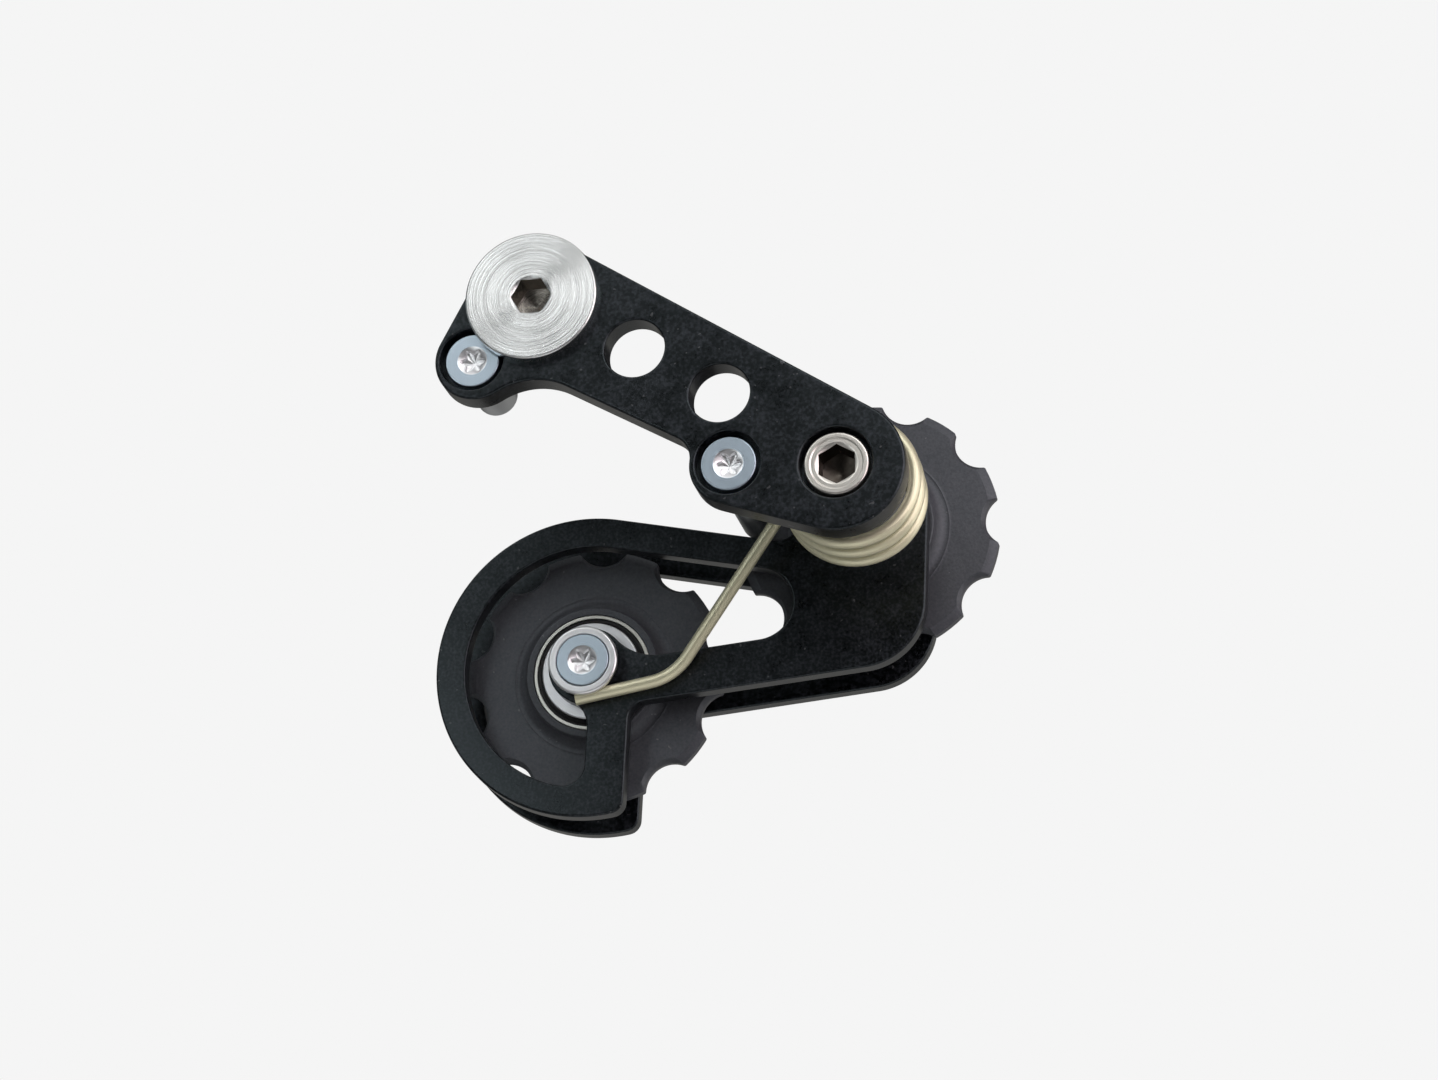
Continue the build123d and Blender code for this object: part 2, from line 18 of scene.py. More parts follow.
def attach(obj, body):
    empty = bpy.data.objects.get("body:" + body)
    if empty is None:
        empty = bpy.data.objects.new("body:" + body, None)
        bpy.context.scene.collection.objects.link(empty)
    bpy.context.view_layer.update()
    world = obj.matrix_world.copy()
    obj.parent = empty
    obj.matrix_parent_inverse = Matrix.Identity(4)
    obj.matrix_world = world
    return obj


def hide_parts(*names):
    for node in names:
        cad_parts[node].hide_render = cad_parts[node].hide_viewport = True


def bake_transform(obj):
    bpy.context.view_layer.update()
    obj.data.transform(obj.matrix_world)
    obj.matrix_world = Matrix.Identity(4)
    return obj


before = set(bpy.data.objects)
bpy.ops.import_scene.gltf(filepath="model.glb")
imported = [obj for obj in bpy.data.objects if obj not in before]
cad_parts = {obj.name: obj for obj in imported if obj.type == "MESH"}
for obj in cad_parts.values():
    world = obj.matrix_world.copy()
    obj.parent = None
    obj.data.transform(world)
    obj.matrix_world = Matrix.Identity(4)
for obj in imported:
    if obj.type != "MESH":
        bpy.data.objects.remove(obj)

LOG = logging.getLogger("tensioner")
MM = 0.001
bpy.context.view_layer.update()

# Fineness of the meshes
ROUND_STEPS = 96
BOLT_STEPS = 144
CORNER_STEPS = 4
THREAD_STEPS = 8
FLANK_STEPS = 8
LEAST_STEPS = 3
SUPPORT = 0.03
LIFT = 0.0006
MERGE = 0.0004
SHARP_ANGLE = math.radians(40)

Point = tuple[float, float]
Colour = tuple[float, float, float]
Loop = list[bmesh.types.BMEdge]

# Axes of the pieces, as X and Z, and the way that they run
AXIS = Vector((0.0, -1.0, 0.0))
HANGER: Point = (0.0, 0.0)
HANGER_STOP: Point = (-8.75, -8.25)
CAGE_STOP: Point = (27.6, -26.1)
PIVOT: Point = (42.5, -27.1)
AXLE: Point = (2.75, -46.55)
CAGE_SPAN = 44.2534
CAGE_ANGLE = math.radians(26.0729)

# Sizes that several assemblies share
MID_Y = 25.8
BEARING_HALF = 3.0
BEARING_BORE = 3.05
INNER_RACE_R = 5.0
BUSH_GROOVE_R = 4.0
BAR_END_R = 0.4
SEATED = 0.02
NOISE_MEAN = 0.5


class Body(Enum):
    """Rigid bodies that pieces ride on."""

    ARM = "arm"
    CAGE = "cage"
    UPPER_WHEEL = "upper_wheel"
    LOWER_WHEEL = "lower_wheel"


class Slot(Enum):
    """Material slots of the record that the new meshes stand for."""

    ANODISED = "black_anodised"
    STAINLESS = "turned_stainless"
    ZINC = "zinc_plated"
    ALUMINIUM = "machined_aluminium"
    NICKEL = "nickel_steel"
    POLYMER = "bearing_polymer"
    WIRE = "spring_wire"
    NYLON = "moulded_nylon"
    BEARING = "bearing_steel"
    SEAL = "seal_rubber"


class Rim(Enum):
    """Which way an outline moves to meet the face beside its rounded edge."""

    OUTER = -1.0
    HOLE = 1.0


class Facing(Enum):
    """Which way along Y leads from a face into the solid."""

    FRONT = 1.0
    BACK = -1.0


class Value:
    """A shader socket that Python's operators combine through Math nodes."""

    def __init__(self, tree: "Tree", socket: bpy.types.NodeSocket) -> None:
        """Keeps the socket and the tree it belongs to."""
        self.tree = tree
        self.socket = socket

    def _join(self, operation: str, first: Any, second: Any) -> "Value":
        """Adds one Math node that takes two values or numbers."""
        return self.tree.node("ShaderNodeMath", {"operation": operation}, {0: first, 1: second})

    def __add__(self, other: Any) -> "Value":
        """Sum."""
        return self._join("ADD", self, other)

    def __radd__(self, other: Any) -> "Value":
        """Sum, reflected."""
        return self._join("ADD", other, self)

    def __sub__(self, other: Any) -> "Value":
        """Difference."""
        return self._join("SUBTRACT", self, other)

    def __rsub__(self, other: Any) -> "Value":
        """Difference, reflected."""
        return self._join("SUBTRACT", other, self)

    def __mul__(self, other: Any) -> "Value":
        """Product."""
        return self._join("MULTIPLY", self, other)

    def __rmul__(self, other: Any) -> "Value":
        """Product, reflected."""
        return self._join("MULTIPLY", other, self)

    def above(self, level: float) -> "Value":
        """One where the value is above a level, else zero."""
        return self._join("GREATER_THAN", self, level)


class Tree:
    """Node tree of a material or of the world."""

    def __init__(self, tree: bpy.types.NodeTree) -> None:
        """Keeps the tree."""
        self.tree = tree

    def node(self, kind: str, settings: dict[str, Any] | None = None, inputs: dict[Any, Any] | None = None,
             out: Any = 0) -> Value:
        """Adds any node.

        Args:
            kind: Node type.
            settings: Attributes that are set first.
            inputs: Values or links by socket name or number.
            out: Socket that is returned.

        Returns:
            The chosen output.
        """
        made = self.tree.nodes.new(kind)
        for key, value in (settings or {}).items():
            setattr(made, key, value)
        for key, value in (inputs or {}).items():
            self.feed(made.inputs[key], value)
        return Value(self, made.outputs[out])

    def feed(self, socket: bpy.types.NodeSocket, value: Any) -> None:
        """Links a socket or sets it.

        Args:
            socket: Input of a node.
            value: A value to link, or a number, vector or colour to set.
        """
        if isinstance(value, Value):
            self.tree.links.new(value.socket, socket)
        elif isinstance(value, tuple) and len(value) == 3 and socket.type == "RGBA":
            socket.default_value = (*value, 1.0)
        else:
            socket.default_value = value

    def seen(self, mirrored: float) -> Value:
        """One on the camera's rays, and a share on those that metal or glass sends on."""
        camera, glossy, through = (self.node("ShaderNodeLightPath", out=f"Is {kind} Ray")
                                   for kind in ("Camera", "Glossy", "Transmission"))
        return camera + (glossy + through) * mirrored


class Shader(Tree):
    """Node tree of one material with a principled surface."""

    def __init__(self, name: str) -> None:
        """Makes the material.

        Args:
            name: Its name.
        """
        self.material = bpy.data.materials.new(name)
        self.material.use_nodes = True
        super().__init__(self.material.node_tree)
        self.surface = self.tree.nodes["Principled BSDF"]
        self.place = self.node("ShaderNodeTexCoord", out="Object")

    def noise(self, size: float, detail: float = 2.0, along: Value | None = None) -> Value:
        """Cloudy noise.

        Args:
            size: Width of its features in millimetres.
            detail: Octaves.
            along: Length in metres that the noise runs along; in space where none is given.

        Returns:
            Noise from 0 to 1.
        """
        scale = 1.0 / (size * MM)
        if along is None:
            return self.node("ShaderNodeTexNoise", None,
                             {"Vector": self.place, "Scale": scale, "Detail": detail}, "Fac")
        return self.node("ShaderNodeTexNoise", {"noise_dimensions": "1D"},
                         {"W": along * scale, "Scale": 1.0, "Detail": detail}, "Fac")

    def mix(self, factor: Value, first: Any, second: Any) -> Value:
        """Mixes two colours by a factor."""
        return self.node("ShaderNodeMix", {"data_type": "RGBA"}, {0: factor, 6: first, 7: second}, 2)

    def bump(self, height: Value, depth: float, strength: float = 1.0) -> Value:
        """Normal bent by a height map whose relief has a depth in millimetres."""
        return self.node("ShaderNodeBump", None,
                         {"Height": height, "Distance": depth * MM, "Strength": strength})

    def radius_from(self, at: Point) -> Value:
        """Distance from an axis along Y, in metres."""
        moved = self.node("ShaderNodeVectorMath", {"operation": "MULTIPLY_ADD"},
                          {0: self.place, 1: (1.0, 0.0, 1.0), 2: (-at[0] * MM, 0.0, -at[1] * MM)})
        return self.node("ShaderNodeVectorMath", {"operation": "LENGTH"}, {0: moved}, "Value")

    def depth(self) -> Value:
        """Distance along Y, in metres."""
        return self.node("ShaderNodeSeparateXYZ", None, {0: self.place}, "Y")

    def dress(self, **sockets: Any) -> bpy.types.Material:
        """Feeds the surface.

        Args:
            sockets: Values by socket name, with underscores for spaces.

        Returns:
            The material.
        """
        for key, value in sockets.items():
            self.feed(self.surface.inputs[key.replace("_", " ")], value)
        return self.material


@dataclass(frozen=True)
class GrainedFinish:
    """Blasted or moulded surface with a fine grain, soft clouds and stray specks."""

    name: str
    dark: Colour
    light: Colour
    speck: Colour
    grain: float = 0.14
    cloud: float = 3.0
    grain_share: float = 0.7
    roughness: float = 0.45
    spread: float = 0.14
    relief: float = 0.012
    specks: float = 0.74
    speck_size: float = 2.3
    speck_share: float = 0.6
    specular: float = 0.5
    contrast: float = 1.0
    level: float = 0.5
    sheen: Colour = (1.0, 1.0, 1.0)

    def material(self) -> bpy.types.Material:
        """Builds the finish.

        Returns:
            The material.
        """
        shader = Shader(self.name)
        grain = shader.noise(self.grain, 3.0)
        cloud = shader.noise(self.cloud, 4.0)
        mottle = cloud * (1 - self.grain_share) + grain * self.grain_share - NOISE_MEAN
        tone = shader.mix(mottle * self.contrast + self.level, self.dark, self.light)
        dust = shader.noise(self.grain * self.speck_size, 1.0).above(self.specks)
        uneven = (grain - NOISE_MEAN) * self.spread + (cloud - NOISE_MEAN) * self.spread
        return shader.dress(
            Base_Color=shader.mix(dust * self.speck_share, tone, self.speck),
            Roughness=self.roughness + uneven,
            Specular_IOR_Level=self.specular,
            Specular_Tint=self.sheen,
            Normal=shader.bump(grain, self.relief),
        )


@dataclass(frozen=True)
class TurnedFinish:
    """Metal with the fine rings that a lathe leaves around an axis, and light and shade painted into a
    socket's hollow.
    """

    name: str
    dark: Colour
    light: Colour
    at: Point = HANGER
    pitch: float = 0.09
    broad: float = 9.0
    ring_share: float = 0.5
    roughness: float = 0.3
    spread: float = 0.1
    relief: float = 0.006
    cloud: float = 1.2
    # Colour painted into a socket's hollow: painted shade where it is darker than the metal, a painted
    # highlight where it is lighter.
    hollow: Colour | None = None
    hollow_share: float = 0.88
    hollow_y: float = 0.0
    hollow_r: float = 2.9
    hollow_t: float = 4.8

    def around(self, name: str, at: Point) -> "TurnedFinish":
        """The same finish around another axis."""
        return replace(self, name=name, at=at)

    def material(self) -> bpy.types.Material:
        """Builds the finish.

        Returns:
            The material.
        """
        shader = Shader(self.name)
        radius = shader.radius_from(self.at)
        rings = shader.noise(self.pitch, 3.0, radius)
        broad = shader.noise(self.pitch * self.broad, 2.0, radius)
        cloud = shader.noise(self.cloud, 3.0)
        rest = (1 - self.ring_share) / 2
        colour = shader.mix(rings * self.ring_share + broad * rest + cloud * rest, self.dark, self.light)
        # Paints light and shade into the socket's hollow, over the metal's own colour.
        if self.hollow is not None:
            depth = shader.depth()
            behind = depth.above(self.hollow_y * MM) - depth.above((self.hollow_y + self.hollow_t) * MM)
            painted_hollow_mask = behind * (1.0 - radius.above(self.hollow_r * MM))
            painted_shading_strength = self.hollow_share + cloud * (1 - self.hollow_share)
            colour = shader.mix(painted_hollow_mask * painted_shading_strength, colour, self.hollow)
        uneven = (rings - NOISE_MEAN) * self.spread + (cloud - NOISE_MEAN) * self.spread
        return shader.dress(
            Base_Color=colour,
            Roughness=self.roughness + uneven,
            Metallic=1.0,
            Normal=shader.bump(rings, self.relief),
        )


@dataclass(frozen=True)
class WireFinish:
    """Drawn spring wire with faint streaks and a dulled skin."""

    name: str
    dark: Colour
    light: Colour
    streak: float = 0.25
    cloud: float = 2.2
    streak_share: float = 0.5
    roughness: float = 0.36
    spread: float = 0.18
    metallic: float = 0.5
    relief: float = 0.01
    relief_share: float = 0.5

    def material(self) -> bpy.types.Material:
        """Builds the finish.

        Returns:
            The material.
        """
        shader = Shader(self.name)
        streak = shader.noise(self.streak, 4.0)
        cloud = shader.noise(self.cloud, 3.0)
        mottle = streak * self.streak_share + cloud * (1 - self.streak_share)
        return shader.dress(
            Base_Color=shader.mix(mottle, self.dark, self.light),
            Roughness=self.roughness + (streak - NOISE_MEAN) * self.spread,
            Metallic=self.metallic,
            Normal=shader.bump(streak, self.relief, self.relief_share),
        )


# Finishes
ANODISE = GrainedFinish(
    "black_anodise", (0.0002, 0.0003, 0.0004), (0.028, 0.03, 0.036), (0.1, 0.102, 0.106), grain=0.42,
    roughness=0.31, relief=0.007, specular=0.45, contrast=4.0, level=0.2, sheen=(0.8, 0.94, 1.0))
NYLON = GrainedFinish(
    "wheel_nylon", (0.038, 0.0392, 0.045), (0.089, 0.0915, 0.103), (0.18, 0.18, 0.19), grain=0.36,
    roughness=0.44, relief=0.02, specks=0.78, contrast=1.6, sheen=(0.85, 0.95, 1.0))
RUBBER = GrainedFinish(
    "seal_black", (0.006, 0.006, 0.006), (0.012, 0.012, 0.013), (0.03, 0.03, 0.03), grain=0.3, roughness=0.6)
POLYMER = GrainedFinish(
    "bush_polymer", (0.12, 0.11, 0.1), (0.2, 0.19, 0.17), (0.3, 0.29, 0.27), roughness=0.55)
RETAINER = GrainedFinish(
    "retainer_nylon", (0.42, 0.37, 0.27), (0.55, 0.5, 0.4), (0.6, 0.56, 0.47), roughness=0.5)
# The hollow colour is painted shade in the hanger bolt's hex socket.
STAINLESS = TurnedFinish(
    "turned_stainless", (0.76, 0.775, 0.768), (0.9, 0.908, 0.9), roughness=0.25, spread=0.06, relief=0.032,
    hollow=(0.26, 0.24, 0.21), hollow_y=-5.1, hollow_r=3.0)
# The hollow colour is a painted highlight in each screw's six-lobe recess.
ZINC = TurnedFinish(
    "bright_zinc", (0.46, 0.56, 0.64), (0.66, 0.77, 0.87), pitch=0.16, roughness=0.36, spread=0.2, cloud=0.5,
    hollow=(0.9, 0.9, 0.91), hollow_y=-3.38, hollow_r=2.3, hollow_t=1.5)
NICKEL = TurnedFinish(
    "nickel_plate", (0.72, 0.69, 0.63), (0.9, 0.87, 0.81), pitch=0.3, roughness=0.34, relief=0.002)
# Nickel with painted shade, nearly black, in the pivot bolt's hex socket.
PIVOT_NICKEL_PAINTED_SHADE = replace(
    NICKEL, name="pivot_nickel_painted_shade", at=PIVOT, hollow=(0.04, 0.03, 0.022), hollow_y=-2.9, hollow_r=3.0)
POLISH = TurnedFinish(
    "bush_polish", (0.84, 0.845, 0.86), (0.96, 0.96, 0.97), at=AXLE, pitch=0.3, roughness=0.34, relief=0.002)
ALUMINIUM = TurnedFinish(
    "machined_aluminium", (0.58, 0.59, 0.6), (0.8, 0.81, 0.82), pitch=0.14, roughness=0.33)
# A lighter copy of the machined aluminium for the axle sleeve and flanges; the extra brightness is painted
# light.
AXLE_ALUMINIUM_PAINTED_LIGHT = replace(
    ALUMINIUM, name="axle_aluminium_painted_light", at=AXLE, dark=(0.7, 0.71, 0.73), light=(0.92, 0.93, 0.95))
# A darker, slightly rougher copy of the machined aluminium for the stop pins; the darkening is painted shade.
PIN_ALUMINIUM_PAINTED_SHADE = TurnedFinish(
    "pin_aluminium_painted_shade", (0.44, 0.46, 0.48), (0.6, 0.62, 0.64), pitch=0.14, roughness=0.38)
GROUND = TurnedFinish(
    "ground_steel", (0.6, 0.6, 0.55), (0.8, 0.8, 0.74), pitch=0.25, roughness=0.32, relief=0.0005)
WIRE = WireFinish("spring_wire", (0.7, 0.675, 0.46), (0.88, 0.85, 0.62))


@dataclass(frozen=True)
class Ring:
    """One closed section of a turned piece at a depth along Y, flat or on a cone that slopes from a rim."""

    radius: float
    y: float
    rim: float = 0.0
    slope: float = 0.0

    def reach(self, angle: float) -> float:
        """Radius at an angle."""
        return self.radius

    def spot(self, angle: float) -> Vector:
        """Point of the section.

        Args:
            angle: Its angle around Y.

        Returns:
            The point.
        """
        reach = self.reach(angle)
        y = self.y + (self.rim - reach) * self.slope
        return Vector((reach * math.cos(angle), y, reach * math.sin(angle)))


@dataclass(frozen=True)
class HexRing(Ring):
    """Six-sided section whose radius is half its size across flats."""

    turn: float = 0.0

    def reach(self, angle: float) -> float:
        """Radius at an angle."""
        sixth = math.pi / 3
        return self.radius / math.cos((angle - self.turn) % sixth - sixth / 2)


@dataclass(frozen=True)
class LobeRing(Ring):
    """Lobed section."""

    height: float = 0.26
    lobes: int = 6
    fullness: float = 0.25

    def reach(self, angle: float) -> float:
        """Radius at an angle."""
        wave = math.cos(self.lobes * angle)
        return self.radius + self.height * (wave + self.fullness * wave * abs(wave))


@dataclass(frozen=True)
class ThreadRing(Ring):
    """Section of a screw thread at its outer radius."""

    pitch: float = 1.0
    depth: float = 0.55

    def reach(self, angle: float) -> float:
        """Radius at an angle."""
        turn = (self.y / self.pitch - angle / math.tau) % 1.0
        return self.radius - self.depth * abs(2 * turn - 1)


@dataclass(frozen=True)
class HexSocket:
    """Socket for a hex key: a drilled point, six walls and a countersunk mouth."""

    rim: float
    slope: float
    point: float
    turn: float = 0.0
    half_flats: float = 2.5
    floor: float = 3.95
    floor_r: float = 2.3
    floor_drop: float = 0.07
    point_r: float = 0.2

    def sections(self, face: float, mouth: float) -> list[Ring]:
        """Sections from the drilled point, its depth taken from a face, out to the mouth."""
        floor = face + self.floor
        return [Ring(self.point_r, face + self.point), Ring(self.floor_r, floor + self.floor_drop),
                HexRing(self.half_flats, floor, turn=self.turn),
                HexRing(self.half_flats, mouth, self.rim, self.slope, self.turn), Ring(self.rim, mouth)]


def lobe_socket(face: float, rim: float = 2.15) -> list[Ring]:
    """Sections of a six-lobe recess, from its floor to its rim in a face."""
    return [Ring(0.15, face + 1.35), LobeRing(1.42, face + 1.0, height=0.24), LobeRing(1.5, face, rim, 0.55),
            Ring(rim, face)]


def thread(radius: float, start: float, end: float, pitch: float, share: float = 0.55) -> list[Ring]:
    """Sections of a thread from one depth to another.

    Args:
        radius: Outer radius.
        start: First depth.
        end: Last depth.
        pitch: Rise in one turn.
        share: Depth of the thread, as a share of its pitch.

    Returns:
        The sections.
    """
    rise = end - start
    count = max(2, round(rise / pitch * THREAD_STEPS))
    return [ThreadRing(radius, start + rise * i / count, pitch=pitch, depth=pitch * share)
            for i in range(count + 1)]


def softened(corners: Sequence[tuple[float, float, float]], most: float = 0.45) -> list[Ring]:
    """Sections of a turned profile with rounded corners.

    Args:
        corners: Radius, depth and rounding of each corner, in order. The ends stay sharp.
        most: Share of a side that a rounding may take.

    Returns:
        The sections, with a support on each side of a rounding.
    """
    spots = [Vector((r, y)) for r, y, _ in corners]
    rings = [Ring(*spots[0])]
    for i in range(1, len(corners) - 1):
        back = spots[i - 1] - spots[i]
        on = spots[i + 1] - spots[i]
        rounding = corners[i][2]
        half = back.angle(on) / 2
        run = min(rounding / math.tan(half), most * back.length, most * on.length) if rounding else 0.0
        if run < SUPPORT / 10:
            rings.append(Ring(*spots[i]))
            continue
        back.normalize()
        on.normalize()
        centre = spots[i] + (back + on).normalized() * (run / math.cos(half))
        first = spots[i] + back * run
        last = spots[i] + on * run
        reach = (first - centre).length
        rings.append(Ring(*(first + back * SUPPORT)))
        for step in range(CORNER_STEPS + 1):
            way = first.lerp(last, step / CORNER_STEPS) - centre
            rings.append(Ring(*(centre + way.normalized() * reach)))
        rings.append(Ring(*(last + on * SUPPORT)))
    rings.append(Ring(*spots[-1]))
    return rings


def plain_ring(bore: float, radius: float, front: float, back: float, front_edge: float, back_edge: float,
               bore_edge: float = 0.0) -> list[Ring]:
    """Sections of a plain ring with rounded outer edges, closed through its bore."""
    return softened([(bore, front, 0), (radius, front, front_edge), (radius, back, back_edge),
                     (bore, back, bore_edge), (bore, front, 0)])


def inner_race() -> list[Ring]:
    """Sections of a bearing's inner race."""
    half = BEARING_HALF - SEATED
    return plain_ring(BEARING_BORE, INNER_RACE_R, MID_Y - half, MID_Y + half, 0.15, 0.15, 0.2)


def nut_rings(half_flats: float, bore: float, front: float, back: float, chamfer: float = 0.3) -> list[Ring]:
    """Sections of a hex nut with turned corners, closed through its chamfered bore."""
    shoulder = half_flats * 0.96
    return [Ring(bore, front + chamfer), Ring(bore + chamfer, front), Ring(shoulder, front),
            HexRing(half_flats, front, shoulder, -0.5), HexRing(half_flats, back, shoulder, 0.5),
            Ring(shoulder, back), Ring(bore + chamfer, back), Ring(bore, back - chamfer),
            Ring(bore, front + chamfer)]


@dataclass(frozen=True)
class Outline:
    """Closed belt round circles in the XZ plane, counter-clockwise; a negative radius is a hollow corner."""

    circles: tuple[tuple[float, float, float], ...]
    spacing: float = 0.4
    steps: tuple[int, ...] = ()

    def placed(self, at: Point, angle: float) -> "Outline":
        """The outline turned about its origin and moved.

        Args:
            at: Where its origin goes.
            angle: Its turn.

        Returns:
            The new outline.
        """
        c, s = math.cos(angle), math.sin(angle)
        moved = tuple((at[0] + x * c - z * s, at[1] + x * s + z * c, r) for x, z, r in self.circles)
        return replace(self, circles=moved)

    def arcs(self, grow: float) -> Iterator[tuple[Point, float, float, float]]:
        """The belt's arcs.

        Args:
            grow: How far the outline moves outwards.

        Returns:
            Centre, signed radius, start angle and swept angle of each arc.
        """
        count = len(self.circles)
        if count == 1:
            x, z, r = self.circles[0]
            yield (x, z), r + grow, 0.0, math.tau
            return
        leave = []
        for i in range(count):
            x, z, r = self.circles[i]
            nx, nz, nr = self.circles[(i + 1) % count]
            lean = max(-1.0, min(1.0, (r - nr) / math.hypot(nx - x, nz - z)))
            leave.append(math.atan2(nz - z, nx - x) - math.acos(lean))
        for i, (x, z, r) in enumerate(self.circles):
            swept = (leave[i] - leave[i - 1]) % math.tau
            if r < 0:
                swept -= math.tau
            if abs(swept) > math.tau - 1e-4:
                swept = 0.0
            yield (x, z), r + grow, leave[i - 1], swept

    def count(self, index: int, swept: float) -> int:
        """Steps of an arc, the same however far the outline is grown.

        Args:
            index: Number of its circle.
            swept: Its swept angle.

        Returns:
            The number of steps.
        """
        if self.steps:
            return self.steps[index % len(self.steps)]
        if len(self.circles) == 1:
            return ROUND_STEPS
        return max(LEAST_STEPS, math.ceil(abs(swept * self.circles[index][2]) / self.spacing))


Level = tuple[Outline, float, float]


def circle(at: Point, radius: float) -> Outline:
    """Outline of a round hole."""
    return Outline(((*at, radius),))


def round_edge(radius: float, face: float, facing: Facing, rim: Rim) -> list[tuple[float, float]]:
    """Growth and depth of the levels of a rounded edge, from its face to its wall.

    Args:
        radius: Rounding.
        face: Depth of the face.
        facing: Which face it is.
        rim: Whether the edge is an outer one or a hole's.

    Returns:
        The levels.
    """
    levels = [(rim.value * (radius + SUPPORT), face)]
    for step in range(CORNER_STEPS + 1):
        angle = math.pi / 2 * step / CORNER_STEPS
        depth = max(LIFT, radius * (1 - math.cos(angle)))
        levels.append((rim.value * radius * (1 - math.sin(angle)), face + facing.value * depth))
    levels.append((0.0, face + facing.value * (radius + SUPPORT)))
    return levels


def edge_levels(outline: Outline, front: float, back: float, front_edge: float, back_edge: float,
                rim: Rim = Rim.HOLE) -> list[Level]:
    """Levels of a plate's wall, rounded at both faces."""
    rows = (round_edge(front_edge, front, Facing.FRONT, rim)
            + round_edge(back_edge, back, Facing.BACK, rim)[::-1])
    return [(outline, grow, y) for grow, y in rows]


def stepped_levels(at: Point, wide: float, narrow: float, front: float, seat: float, back: float,
                   edge: float) -> list[Level]:
    """Levels of a counterbored hole from the front face to the back one.

    Args:
        at: Its axis.
        wide: Radius of the counterbore.
        narrow: Radius of the bore behind it.
        front: Depth of the front face.
        seat: Depth of the counterbore's floor.
        back: Depth of the back face.
        edge: Rounding at the front.

    Returns:
        The levels.
    """
    step = narrow - wide
    rows = round_edge(edge, front, Facing.FRONT, Rim.HOLE)
    rows += [(0.0, seat - SUPPORT), (0.0, seat), (-SUPPORT, seat + LIFT), (step + SUPPORT, seat + 2 * LIFT),
             (step, seat + 3 * LIFT), (step, seat + SUPPORT), (step, back - SUPPORT), (step, back)]
    return [(circle(at, wide), grow, y) for grow, y in rows]


@dataclass(frozen=True)
class Stock:
    """Finish of a piece, with its axis, its slot of the record and the body that it rides on, if only one."""

    at: Point
    material: bpy.types.Material
    slot: Slot
    body: Body | None = None


